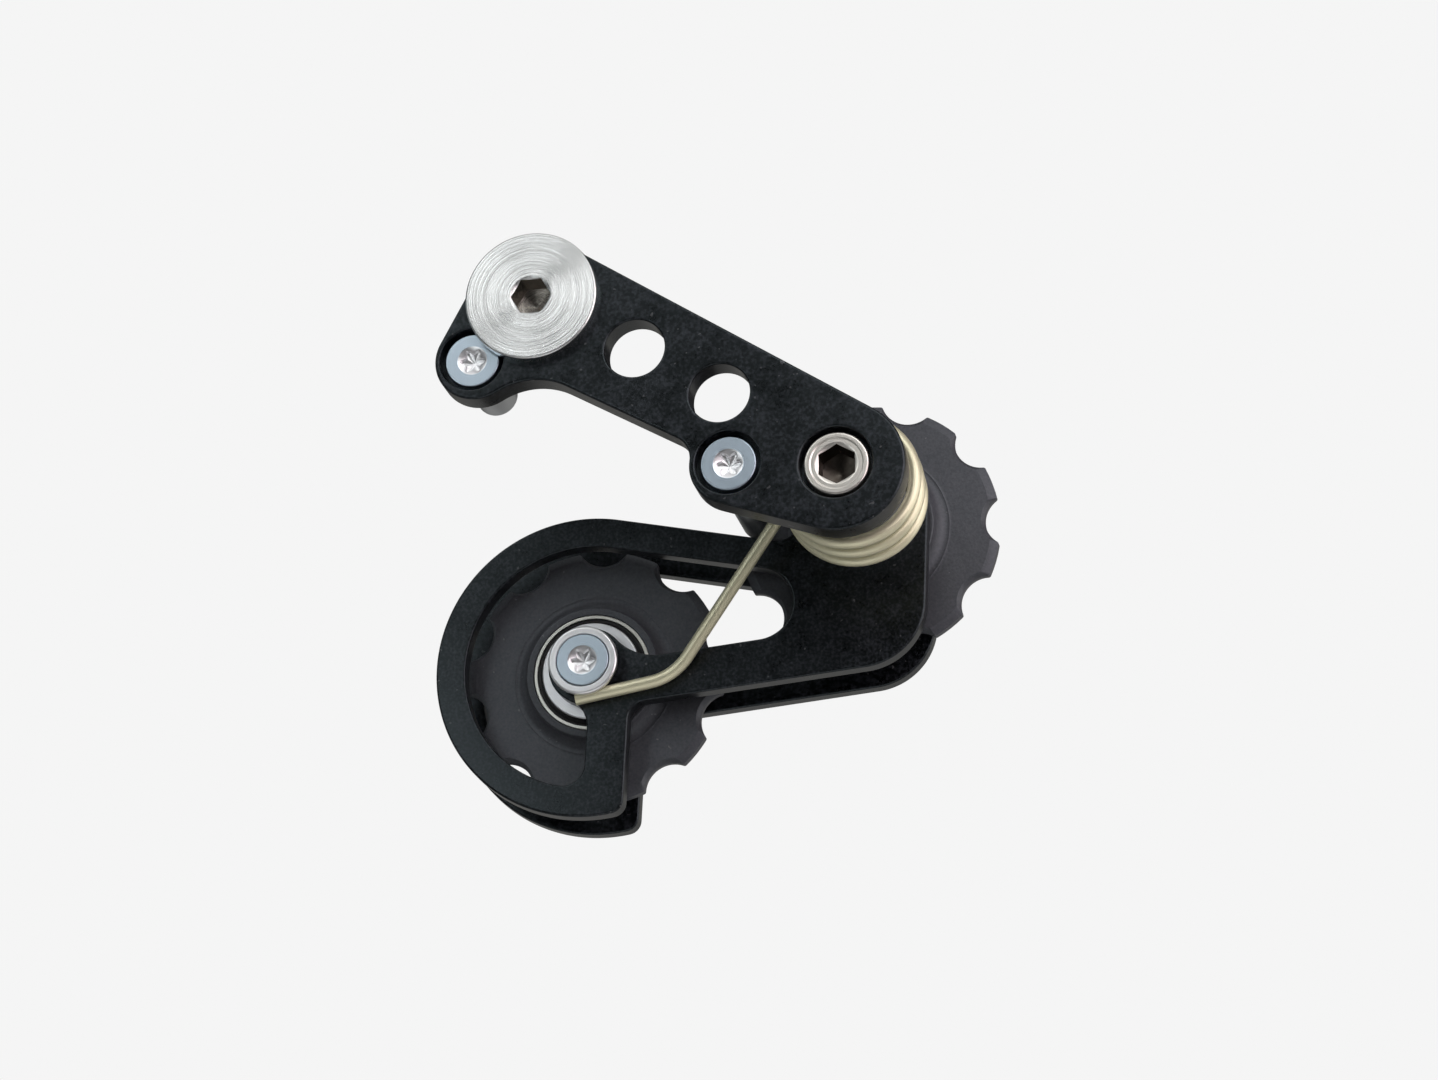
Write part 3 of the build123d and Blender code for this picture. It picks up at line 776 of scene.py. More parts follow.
class Workpiece:
    """A mesh being made from sections and outlines."""

    def __init__(self, name: str) -> None:
        """Starts an empty mesh."""
        self.name = name
        self.mesh = bmesh.new()

    def ring(self, section: Ring, steps: int) -> Loop:
        """Adds one closed section around the Y axis.

        Args:
            section: The section.
            steps: Its corners.

        Returns:
            Its edges.
        """
        made = bmesh.ops.create_circle(self.mesh, segments=steps, radius=1.0,
                                       matrix=Matrix.Rotation(math.pi / 2, 4, "X"))["verts"]
        for vert in made:
            vert.co = section.spot(math.atan2(vert.co.z, vert.co.x))
        return list(dict.fromkeys(edge for vert in made for edge in vert.link_edges))

    def turn(self, sections: Sequence[Ring], steps: int = ROUND_STEPS) -> tuple[Loop, Loop]:
        """Sweeps a skin through sections.

        Args:
            sections: Sections in order.
            steps: Corners of each section.

        Returns:
            Edges of the first and of the last section.
        """
        first = self.ring(sections[0], steps)
        last = first
        for section in sections[1:]:
            made = bmesh.ops.extrude_edge_only(self.mesh, edges=last)["geom"]
            fresh = {vert for vert in made if isinstance(vert, bmesh.types.BMVert)}
            for vert in fresh:
                vert.co = section.spot(math.atan2(vert.co.z, vert.co.x))
            last = [edge for edge in made
                    if isinstance(edge, bmesh.types.BMEdge) and fresh.issuperset(edge.verts)]
        return first, last

    def tube(self, sections: Sequence[Ring]) -> "Workpiece":
        """Turns sections whose last one meets the first, and gives the piece."""
        self.turn(sections)
        return self

    def bar(self, sections: Sequence[Ring], steps: int = ROUND_STEPS) -> "Workpiece":
        """Turns sections and closes both ends.

        Args:
            sections: Sections in order.
            steps: Corners of each section.

        Returns:
            The piece.
        """
        for loop in self.turn(sections, steps):
            self.cap(loop)
        return self

    def trace(self, outline: Outline, y: float, grow: float = 0.0) -> Loop:
        """Draws an outline at a depth by spinning a point round each of its circles.

        Args:
            outline: The outline.
            y: Its depth.
            grow: How far it moves outwards.

        Returns:
            The outline's edges.
        """
        sketch = bmesh.new()
        vert: bmesh.types.BMVert | None = None
        for index, ((x, z), radius, angle, swept) in enumerate(outline.arcs(grow)):
            spot = Vector((x + radius * math.cos(angle), y, z + radius * math.sin(angle)))
            if vert is None:
                vert = start = bmesh.ops.create_vert(sketch, co=spot)["vert"][0]
            elif (vert.co - spot).length > MERGE:
                vert = bmesh.ops.extrude_vert_indiv(sketch, verts=[vert])["verts"][0]
                vert.co = spot
            if swept:
                made = bmesh.ops.spin(sketch, geom=[vert], cent=(x, y, z), axis=AXIS, angle=swept,
                                      steps=outline.count(index, swept))["geom_last"]
                vert = next(item for item in made if isinstance(item, bmesh.types.BMVert))
        if (vert.co - start.co).length > MERGE:
            bmesh.ops.contextual_create(sketch, geom=[vert, start])
        else:
            bmesh.ops.pointmerge(sketch, verts=[start, vert], merge_co=start.co)
        data = bpy.data.meshes.new("sketch")
        sketch.to_mesh(data)
        sketch.free()
        self.mesh.from_mesh(data)
        count = len(data.edges)
        bpy.data.meshes.remove(data)
        return list(self.mesh.edges)[-count:]

    def wall(self, levels: Sequence[Level]) -> tuple[Loop, Loop]:
        """Bridges an outline from depth to depth.

        Args:
            levels: Outline, growth and depth of each level, in order.

        Returns:
            Edges of the first and of the last level.
        """
        loops = [self.trace(outline, y, grow) for outline, grow, y in levels]
        for upper, lower in zip(loops, loops[1:]):
            bmesh.ops.bridge_loops(self.mesh, edges=upper + lower)
        return loops[0], loops[-1]

    def panel(self, walls: Sequence[Sequence[Level]]) -> "Workpiece":
        """Makes a flat plate.

        Args:
            walls: Levels of its outer wall and of the wall of each hole.

        Returns:
            The piece.
        """
        loops = [self.wall(levels) for levels in walls]
        for face in zip(*loops):
            self.fill(*face)
        return self

    def fill(self, *loops: Loop) -> None:
        """Fills the flat between loops that lie in one plane."""
        edges = [edge for loop in loops for edge in loop]
        bmesh.ops.triangle_fill(self.mesh, use_beauty=True, edges=edges, normal=AXIS)

    def cap(self, loop: Loop) -> None:
        """Closes one loop."""
        bmesh.ops.edgeloop_fill(self.mesh, edges=loop)

    def finish(self, stock: Stock, node: str) -> bpy.types.Object:
        """Makes the mesh an object in its place.

        Args:
            stock: Its axis, finish, slot and body.
            node: Node that it replaces.

        Returns:
            The new object.
        """
        bm = self.mesh
        bmesh.ops.remove_doubles(bm, verts=bm.verts, dist=MERGE)
        bmesh.ops.dissolve_degenerate(bm, edges=bm.edges, dist=MERGE / 4)
        bmesh.ops.recalc_face_normals(bm, faces=bm.faces)
        bmesh.ops.translate(bm, verts=bm.verts, vec=(stock.at[0], 0.0, stock.at[1]))
        bmesh.ops.scale(bm, verts=bm.verts, vec=(MM, MM, MM))
        for face in bm.faces:
            face.smooth = True
        data = bpy.data.meshes.new(self.name)
        bm.to_mesh(data)
        bm.free()
        data.set_sharp_from_angle(angle=SHARP_ANGLE)
        data.materials.append(stock.material)
        made = bpy.data.objects.new(self.name, data)
        bpy.context.scene.collection.objects.link(made)
        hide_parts(node)
        if stock.body is not None:
            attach(made, stock.body.value)
        LOG.info("%s: %d faces", self.name, len(data.polygons))
        return made


@dataclass(frozen=True)
class Stop:
    """Stop pin behind the arm, and how deep the screw that holds it goes."""

    name: str
    at: Point
    screw_end: float
    pin_r: float
    pin_end: float


@dataclass
class MountArm:
    """Flat arm that the hanger bolt holds, with its bolts, screws and stop pins."""

    front: float = -4.0
    back: float = 0.0
    edge: float = 0.35
    back_edge: float = 0.25
    hole_r: float = 4.25
    hole_edge: float = 0.3
    hanger_bore: float = 5.75
    hanger_edge: float = 0.15
    head_r: float = 9.4
    head_t: float = 1.6
    shoulder_r: float = 5.7
    hanger_r: float = 5.0
    hanger_pitch: float = 1.0
    hanger_end: float = 9.0
    hanger_socket: HexSocket = HexSocket(rim=2.98, slope=0.7, point=4.7)
    sink: float = 0.6
    screw_r: float = 3.9
    screw_t: float = 1.5
    shank_r: float = 2.0
    screw_bore: float = 2.05
    screw_seat_r: float = 4.6
    screw_edge: float = 0.2
    pivot_head_r: float = 4.55
    pivot_head_t: float = 2.0
    pivot_dish: float = 0.12
    pivot_shoulder_r: float = 4.0
    pivot_shoulder: float = 3.0
    pivot_r: float = 3.0
    pivot_pitch: float = 0.8
    pivot_end: float = 39.3
    pivot_bore: float = 4.05
    pivot_seat_r: float = 5.1
    pivot_edge: float = 0.3
    pivot_socket: HexSocket = HexSocket(rim=3.0, slope=0.6, point=4.6, turn=math.radians(30))
    guide_r: float = 7.0
    guide_end: float = 19.1
    collar_r: float = 4.5
    collar_end: float = 32.3
    washer_r: float = 6.5
    washer_end: float = 33.3
    nut_half: float = 5.0
    nut_end: float = 38.3
    stops: tuple[Stop, ...] = (Stop("hanger_stop", HANGER_STOP, 8.0, 3.0, 11.0),
                               Stop("cage_stop", CAGE_STOP, 9.0, 2.75, 21.5))
    outline: Outline = Outline(((0.0, 0.0, 9.2), (-8.1, -8.3, 5.9), (-0.016, -21.992, -10.0),
                                (18.783, -25.061, -3.5), (28.0, -26.3, 5.8), (42.7, -27.5, 9.3)))
    holes: tuple[Point, ...] = ((14.5, -8.4), (26.45, -15.9))

    def build(self) -> None:
        """Makes every piece of the arm."""
        self.plate()
        self.hanger_bolt()
        for stop in self.stops:
            self.stop_screw(stop)
            self.stop_pin(stop)
        self.pivot_bolt()
        self.pivot_stack()

    def plate(self) -> None:
        """The arm itself, with its light holes and counterbores."""
        front, back = self.front, self.back
        face = front + self.sink
        walls = [edge_levels(self.outline, front, back, self.edge, self.back_edge, Rim.OUTER)]
        for at in self.holes:
            walls.append(edge_levels(circle(at, self.hole_r), front, back, self.hole_edge, self.back_edge))
        walls.append(edge_levels(circle(HANGER, self.hanger_bore), front, back, self.hanger_edge,
                                 self.hanger_edge))
        for stop in self.stops:
            walls.append(stepped_levels(stop.at, self.screw_seat_r, self.screw_bore, front,
                                        face + self.screw_t, back, self.screw_edge))
        walls.append(stepped_levels(PIVOT, self.pivot_seat_r, self.pivot_bore, front,
                                    face + self.pivot_head_t, back, self.pivot_edge))
        stock = Stock(HANGER, ANODISE.material(), Slot.ANODISED, Body.ARM)
        Workpiece("arm_plate").panel(walls).finish(stock, "mount_arm")

    def hanger_bolt(self) -> None:
        """Wide flat bolt head with a hex socket, a shoulder and a thread."""
        face = self.front - self.head_t
        end = self.hanger_end
        rings = self.hanger_socket.sections(face, face)
        rings += softened([(3.0, face, 0), (self.head_r, face, 0.3), (self.head_r, self.front, 0.12),
                           (self.shoulder_r, self.front, 0), (self.shoulder_r, self.back - 0.1, 0.1),
                           (self.hanger_r, self.back, 0)])
        rings += thread(self.hanger_r, 0.2, end - 0.8, self.hanger_pitch)
        rings += softened([(4.75, end - 0.6, 0), (4.3, end, 0.1), (3.9, end, 0)])
        stock = Stock(HANGER, STAINLESS.material(), Slot.STAINLESS, Body.ARM)
        Workpiece("hanger_bolt_turned").bar(rings, BOLT_STEPS).finish(stock, "hanger_bolt")

    def stop_screw(self, stop: Stop) -> None:
        """Flat-headed six-lobe screw that holds a stop pin.

        Args:
            stop: The stop.
        """
        face = self.front + self.sink
        seat = face + self.screw_t
        rings = lobe_socket(face) + softened(
            [(2.2, face, 0), (self.screw_r, face, 0.22), (self.screw_r, seat, 0.08), (self.shank_r, seat, 0),
             (self.shank_r, stop.screw_end, 0.1), (BAR_END_R, stop.screw_end, 0)])
        zinc = ZINC.around(stop.name + "_zinc", stop.at).material()
        stock = Stock(stop.at, zinc, Slot.ZINC, Body.ARM)
        Workpiece(stop.name + "_screw_turned").bar(rings).finish(stock, stop.name + "_screw")

    def stop_pin(self, stop: Stop) -> None:
        """Turned pin behind the arm.

        Args:
            stop: The stop.
        """
        start = self.back + SEATED
        rings = softened([(self.screw_bore, start, 0), (stop.pin_r, start, 0.1),
                          (stop.pin_r, stop.pin_end, 0.4), (BAR_END_R, stop.pin_end, 0)])
        # The pins' aluminium is darkened as painted shade.
        metal = PIN_ALUMINIUM_PAINTED_SHADE.around(stop.name + "_pin_metal", stop.at).material()
        stock = Stock(stop.at, metal, Slot.ALUMINIUM, Body.ARM)
        Workpiece(stop.name + "_pin_turned").bar(rings).finish(stock, stop.name + "_pin")

    def pivot_bolt(self) -> None:
        """Hex-socket bolt that the cage turns on."""
        face = self.front + self.sink
        mouth = face + self.pivot_dish
        seat = face + self.pivot_head_t
        end = self.pivot_end
        rings = self.pivot_socket.sections(face, mouth)
        rings += softened([(3.05, mouth, 0), (3.55, mouth, 0.1), (3.75, face, 0.1),
                           (self.pivot_head_r, face, 0.5), (self.pivot_head_r, seat, 0.05),
                           (self.pivot_shoulder_r, seat, 0),
                           (self.pivot_shoulder_r, self.pivot_shoulder, 0.1),
                           (self.pivot_r, self.pivot_shoulder, 0), (self.pivot_r, 33.0, 0)])
        rings += thread(self.pivot_r, 33.1, 38.9, self.pivot_pitch)
        rings += softened([(2.7, 39.0, 0), (2.5, end, 0.1), (BAR_END_R, end, 0)])
        stock = Stock(PIVOT, PIVOT_NICKEL_PAINTED_SHADE.material(), Slot.NICKEL, Body.ARM)
        Workpiece("pivot_bolt_turned").bar(rings).finish(stock, "pivot_bolt")

    def pivot_stack(self) -> None:
        """Guide tube, collar, washer, nut and inner race on the pivot bolt."""
        metal = Stock(PIVOT, ALUMINIUM.around("pivot_metal", PIVOT).material(), Slot.ALUMINIUM, Body.ARM)
        plating = Stock(PIVOT, NICKEL.around("pivot_nut_nickel", PIVOT).material(), Slot.NICKEL, Body.ARM)
        ground = Stock(PIVOT, GROUND.around("upper_race_steel", PIVOT).material(), Slot.BEARING, Body.ARM)
        bore = BEARING_BORE
        start = self.back + SEATED
        race_front, race_back = MID_Y - BEARING_HALF, MID_Y + BEARING_HALF
        guide = softened(
            [(bore, start, 0), (self.guide_r, start, 0.2), (self.guide_r, self.guide_end, 0.25),
             (self.collar_r, self.guide_end, 0), (self.collar_r, race_front, 0.1), (bore, race_front, 0),
             (bore, start, 0)])
        collar = plain_ring(bore, self.collar_r, race_back, self.collar_end, 0.1, 0.1)
        washer = plain_ring(bore, self.washer_r, self.collar_end, self.washer_end - SEATED, 0.15, 0.2)
        nut = nut_rings(self.nut_half, bore, self.washer_end, self.nut_end)
        Workpiece("guide_tube").tube(guide).finish(metal, "spring_guide")
        Workpiece("collar_ring").tube(collar).finish(metal, "rear_collar")
        Workpiece("washer_ring").tube(washer).finish(plating, "pivot_washer")
        Workpiece("pivot_nut_hex").tube(nut).finish(plating, "pivot_nut")
        Workpiece("upper_inner_ring").tube(inner_race()).finish(ground, "upper_inner_race")


@dataclass
class Cage:
    """Two plates on the pivot, and the lower axle's hardware."""

    front: float = 19.4
    front_back: float = 22.0
    rear: float = 29.6
    rear_back: float = 32.0
    edge: float = 0.3
    bore_edge: float = 0.1
    pivot_bore: float = 5.76
    plain_r: float = 5.75
    plain_bore: float = 4.55
    axle_bore: float = 2.05
    screw_face: float = 16.6
    screw_r: float = 3.84
    screw_neck: float = 19.0
    shank_r: float = 2.0
    shank_pitch: float = 0.7
    shank_end: float = 35.6
    bush_r: float = 5.0
    bush_bore: float = 2.02
    bush_mouth: float = 3.93
    bush_flange: float = 17.45
    sleeve_r: float = 3.0
    flange_r: float = 7.1
    flange_t: float = 0.45
    spacer_r: float = 4.4
    nut_half: float = 3.5
    nut_end: float = 35.2
    gap: float = 0.01
    outer: Outline = Outline(((0.0, 0.0, 22.0), (-5.61, -19.197, 2.0), (4.066, -11.022, -2.5),
                              (37.996, -10.896, 9.5), (CAGE_SPAN, 0.0, 9.2), (33.497, 5.758, -3.0)))
    window: Outline = Outline(((0.0, 0.0, 17.7), (-9.209, -11.458, 3.0), (-7.395, -6.122, 4.0),
                               (0.0, 0.0, -5.6), (13.103, 3.642, 8.0), (25.22, -3.771, 5.3)))

    def build(self) -> None:
        """Makes every piece of the cage."""
        sides = (("front", self.front, self.front_back), ("back", self.rear, self.rear_back))
        for side, front, back in sides:
            self.plate(side, front, back)
        polymer = Stock(PIVOT, POLYMER.material(), Slot.POLYMER, Body.CAGE)
        for side, front, back in sides:
            plain = plain_ring(self.plain_bore, self.plain_r, front, back, self.bore_edge, self.bore_edge)
            Workpiece(side + "_plain_bearing_ring").tube(plain).finish(polymer, side + "_plain_bearing")
        self.axle_screw()
        self.axle_rings()

    def plate(self, side: str, front: float, back: float) -> None:
        """One plate with its window and bores.

        Args:
            side: Side of the wheels that it is on.
            front: Depth of its front face.
            back: Depth of its back face.
        """
        outer = self.outer.placed(AXLE, CAGE_ANGLE)
        window = self.window.placed(AXLE, CAGE_ANGLE)
        walls = [edge_levels(outer, front, back, self.edge, self.edge, Rim.OUTER),
                 edge_levels(window, front, back, self.edge, self.edge)]
        for bore in (circle(PIVOT, self.pivot_bore), circle(AXLE, self.axle_bore)):
            walls.append(edge_levels(bore, front, back, self.bore_edge, self.bore_edge))
        stock = Stock(HANGER, ANODISE.material(), Slot.ANODISED, Body.CAGE)
        Workpiece(side + "_plate").panel(walls).finish(stock, f"cage_{side}_plate")

    def axle_screw(self) -> None:
        """Countersunk six-lobe screw of the lower axle."""
        face, end = self.screw_face, self.shank_end
        rings = lobe_socket(face) + softened([(2.2, face, 0), (self.screw_r, face, 0.12),
                                              (self.shank_r, self.screw_neck, 0), (self.shank_r, 32.2, 0)])
        rings += thread(self.shank_r, 32.3, 35.3, self.shank_pitch)
        rings += softened([(1.8, 35.4, 0), (1.6, end, 0.05), (BAR_END_R, end, 0)])
        # The hollow colour is a painted highlight in the axle screw's six-lobe recess.
        zinc = replace(ZINC.around("axle_zinc_painted_highlight", AXLE), hollow_y=face + SEATED).material()
        stock = Stock(AXLE, zinc, Slot.ZINC, Body.CAGE)
        Workpiece("axle_screw_turned").bar(rings).finish(stock, "lower_axle_screw")

    def axle_rings(self) -> None:
        """Bush, sleeve, flanged spacers, nut and inner race of the lower axle."""
        polish = Stock(AXLE, POLISH.material(), Slot.NICKEL, Body.CAGE)
        # The sleeve and flanges get aluminium lightened as painted light.
        metal = Stock(AXLE, AXLE_ALUMINIUM_PAINTED_LIGHT.material(), Slot.ALUMINIUM, Body.CAGE)
        plating = Stock(AXLE, NICKEL.around("axle_nut_nickel", AXLE).material(), Slot.NICKEL, Body.CAGE)
        ground = Stock(AXLE, GROUND.around("lower_race_steel", AXLE).material(), Slot.BEARING, Body.CAGE)
        face = self.screw_face + SEATED
        foot = self.front - SEATED
        start, end = self.front_back + self.gap, self.rear - self.gap
        race = MID_Y - BEARING_HALF
        flange = self.front_back + self.flange_t
        bush = softened(
            [(self.bush_bore, self.screw_neck, 0), (self.bush_mouth, face, 0.05), (self.bush_r, face, 0.55),
             (self.bush_r, self.bush_flange, 0.1), (BUSH_GROOVE_R, self.bush_flange, 0),
             (BUSH_GROOVE_R, foot, 0.05), (self.bush_bore, foot, 0), (self.bush_bore, self.screw_neck, 0)])
        spacer = [(BEARING_BORE, start, 0), (self.flange_r, start, 0.2), (self.flange_r, flange, 0.1),
                  (self.spacer_r, flange, 0), (self.spacer_r, race, 0.05), (BEARING_BORE, race, 0),
                  (BEARING_BORE, start, 0)]
        mirrored = [(radius, 2 * MID_Y - y, edge) for radius, y, edge in reversed(spacer)]
        sleeve = plain_ring(self.axle_bore, self.sleeve_r, start, end, 0.05, 0.05)
        nut = nut_rings(self.nut_half, self.axle_bore, self.rear_back, self.nut_end)
        Workpiece("axle_bush_ring").tube(bush).finish(polish, "lower_axle_bush")
        Workpiece("axle_sleeve_tube").tube(sleeve).finish(metal, "lower_axle_sleeve")
        Workpiece("front_flange").tube(softened(spacer)).finish(metal, "lower_front_spacer")
        Workpiece("back_flange").tube(softened(mirrored)).finish(metal, "lower_back_spacer")
        Workpiece("axle_nut_hex").tube(nut).finish(plating, "lower_axle_nut")
        Workpiece("lower_inner_ring").tube(inner_race()).finish(ground, "lower_inner_race")


def spoke(angle: float) -> Vector:
    """Unit vector in the XZ plane."""
    return Vector((math.cos(angle), 0.0, math.sin(angle)))


def corners(loop: Loop) -> list[bmesh.types.BMVert]:
    """Corners of a loop, each once and in order."""
    return list(dict.fromkeys(vert for edge in loop for vert in edge.verts))


@dataclass
class TorsionSpring:
    """Wire coil round the pivot, with a tang in the arm and a straight leg that hooks under the axle bush."""

    wire: float = 0.9
    coil: float = 9.2
    shift: Point = (0.6, -0.4)
    front: float = 1.0
    back: float = 12.28
    enters: float = math.radians(163.5)
    leaves: float = math.radians(142.81)
    turns: int = 3
    tail: float = math.radians(232.8)
    pinch: float = 0.47
    elbow: float = 1.1
    tang: float = 2.0
    leg: float = 34.0
    leg_y: float = 18.3
    bend: float = 8.5
    past_axle: float = 2.25
    play: float = 0.05
    steps: int = 20
    fineness: float = 11.5
    elbow_steps: int = 10
    leg_steps: int = 4
    bend_steps: int = 14

    def __post_init__(self) -> None:
        """Works out the coil's sweep, its rise and its middle."""
        self.swept = math.tau * self.turns + self.leaves - self.enters
        self.rise = self.back - self.front
        self.middle = Vector((PIVOT[0] + self.shift[0], 0.0, PIVOT[1] + self.shift[1]))

    def build(self) -> None:
        """Sweeps a round section along the wire."""
        piece = Workpiece("spring_wire")
        coil = self.wind(piece.mesh, self.begin(piece))
        piece.cap(self.reach(piece.mesh, coil))
        made = piece.finish(Stock(HANGER, WIRE.material(), Slot.WIRE), "torsion_spring")
        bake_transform(made)

    def begin(self, piece: Workpiece) -> Loop:
        """Sets a section at the coil's start and sweeps the tang that bends into the arm.

        Args:
            piece: The wire's workpiece.

        Returns:
            Edges of the section.
        """
        bm = piece.mesh
        skipped = self.elbow / self.coil
        start = self.enters + skipped
        lead = self.rise / (self.swept * self.coil)
        way = Vector((-math.sin(start), lead, math.cos(start))).normalized()
        origin = self.middle + spoke(start) * self.coil
        origin.y = self.front + self.rise * skipped / self.swept
        section = bmesh.ops.create_circle(bm, segments=self.steps, radius=self.wire)["verts"]
        bmesh.ops.rotate(bm, verts=section, matrix=way.to_track_quat("Z", "Y").to_matrix())
        bmesh.ops.translate(bm, verts=section, vec=origin)
        loop = list(bm.edges)
        tang = self.spin(bm, self.fork(bm, loop), origin + AXIS * self.elbow, way.cross(AXIS), -math.pi / 2,
                         self.elbow_steps)
        piece.cap(self.push(bm, tang, AXIS * self.tang))
        return loop

    def wind(self, bm: bmesh.types.BMesh, loop: Loop) -> Loop:
        """Sweeps the coil: even turns, then a tail that draws in towards the leg.

        Args:
            bm: The mesh.
            loop: Edges of the section at the coil's start.

        Returns:
            Edges of the section at its end.
        """
        even = self.swept - self.elbow / self.coil - self.tail
        count = round(even * self.fineness)
        pitch = Vector((0.0, self.rise * even / self.swept / count, 0.0))
        end = self.spin(bm, loop, self.middle, AXIS, even, count, pitch)
        count = round(self.tail * self.fineness)
        step = self.tail / count
        for index in range(count):
            move = spoke(self.leaves - self.tail + step * (index + 1)) * (-self.pinch / count)
            move.y = self.rise * step / self.swept
            end = self.spin(bm, end, self.middle, AXIS, step, 1, move)
        return end

    def reach(self, bm: bmesh.types.BMesh, end: Loop) -> Loop:
        """Sweeps the leg, its bend and the end that lies in the bush's groove.

        Args:
            bm: The mesh.
            end: Edges of the section at the coil's end.

        Returns:
            Edges of the wire's last section.
        """
        last = spoke(self.leaves)
        leg_from = self.middle + last * (self.coil - self.pinch)
        leg_from.y = self.back
        corner = leg_from + Vector((-last.z, 0.0, last.x)) * self.leg
        corner.y = self.leg_y
        leg_way = (corner - leg_from).normalized()
        to_axle = Vector((AXLE[0] - corner.x, AXLE[1] - corner.z))
        clear = BUSH_GROOVE_R + self.wire + self.play
        hook_way = spoke(math.atan2(to_axle.y, to_axle.x) + math.asin(clear / to_axle.length))
        turn = leg_way.angle(hook_way)
        run = self.bend * math.tan(turn / 2)
        straight = (corner - leg_from).length - run
        for _ in range(self.leg_steps):
            end = self.push(bm, end, leg_way * (straight / self.leg_steps))
        axis = leg_way.cross(hook_way).normalized()
        pole = corner - leg_way * run + axis.cross(leg_way) * self.bend
        end = self.spin(bm, end, pole, axis, turn, self.bend_steps)
        hooked = math.sqrt(to_axle.length**2 - clear**2) + self.past_axle - run
        return self.push(bm, end, hook_way * hooked)

    def fork(self, bm: bmesh.types.BMesh, loop: Loop) -> Loop:
        """A copy of a section, for the wire's other end."""
        made = bmesh.ops.duplicate(bm, geom=loop + corners(loop))["geom"]
        return [item for item in made if isinstance(item, bmesh.types.BMEdge)]

    def spin(self, bm: bmesh.types.BMesh, loop: Loop, centre: Vector, axis: Vector, angle: float, steps: int,
             move: Vector = Vector()) -> Loop:
        """Sweeps a section round an axis.

        Args:
            bm: The mesh.
            loop: Edges of the section.
            centre: Point on the axis.
            axis: Direction of the axis.
            angle: Swept angle.
            steps: Number of steps.
            move: Move at each step.

        Returns:
            Edges of the last section.
        """
        made = bmesh.ops.spin(bm, geom=loop + corners(loop), cent=centre, axis=axis, angle=angle, steps=steps,
                              dvec=move)["geom_last"]
        return [item for item in made if isinstance(item, bmesh.types.BMEdge)]

    def push(self, bm: bmesh.types.BMesh, loop: Loop, way: Vector) -> Loop:
        """Sweeps a section straight on.

        Args:
            bm: The mesh.
            loop: Edges of the section.
            way: The move.

        Returns:
            Edges of the last section.
        """
        made = bmesh.ops.extrude_edge_only(bm, edges=loop)["geom"]
        verts = [item for item in made if isinstance(item, bmesh.types.BMVert)]
        bmesh.ops.translate(bm, verts=verts, vec=way)
        fresh = set(verts)
        return [edge for edge in made
                if isinstance(edge, bmesh.types.BMEdge) and fresh.issuperset(edge.verts)]


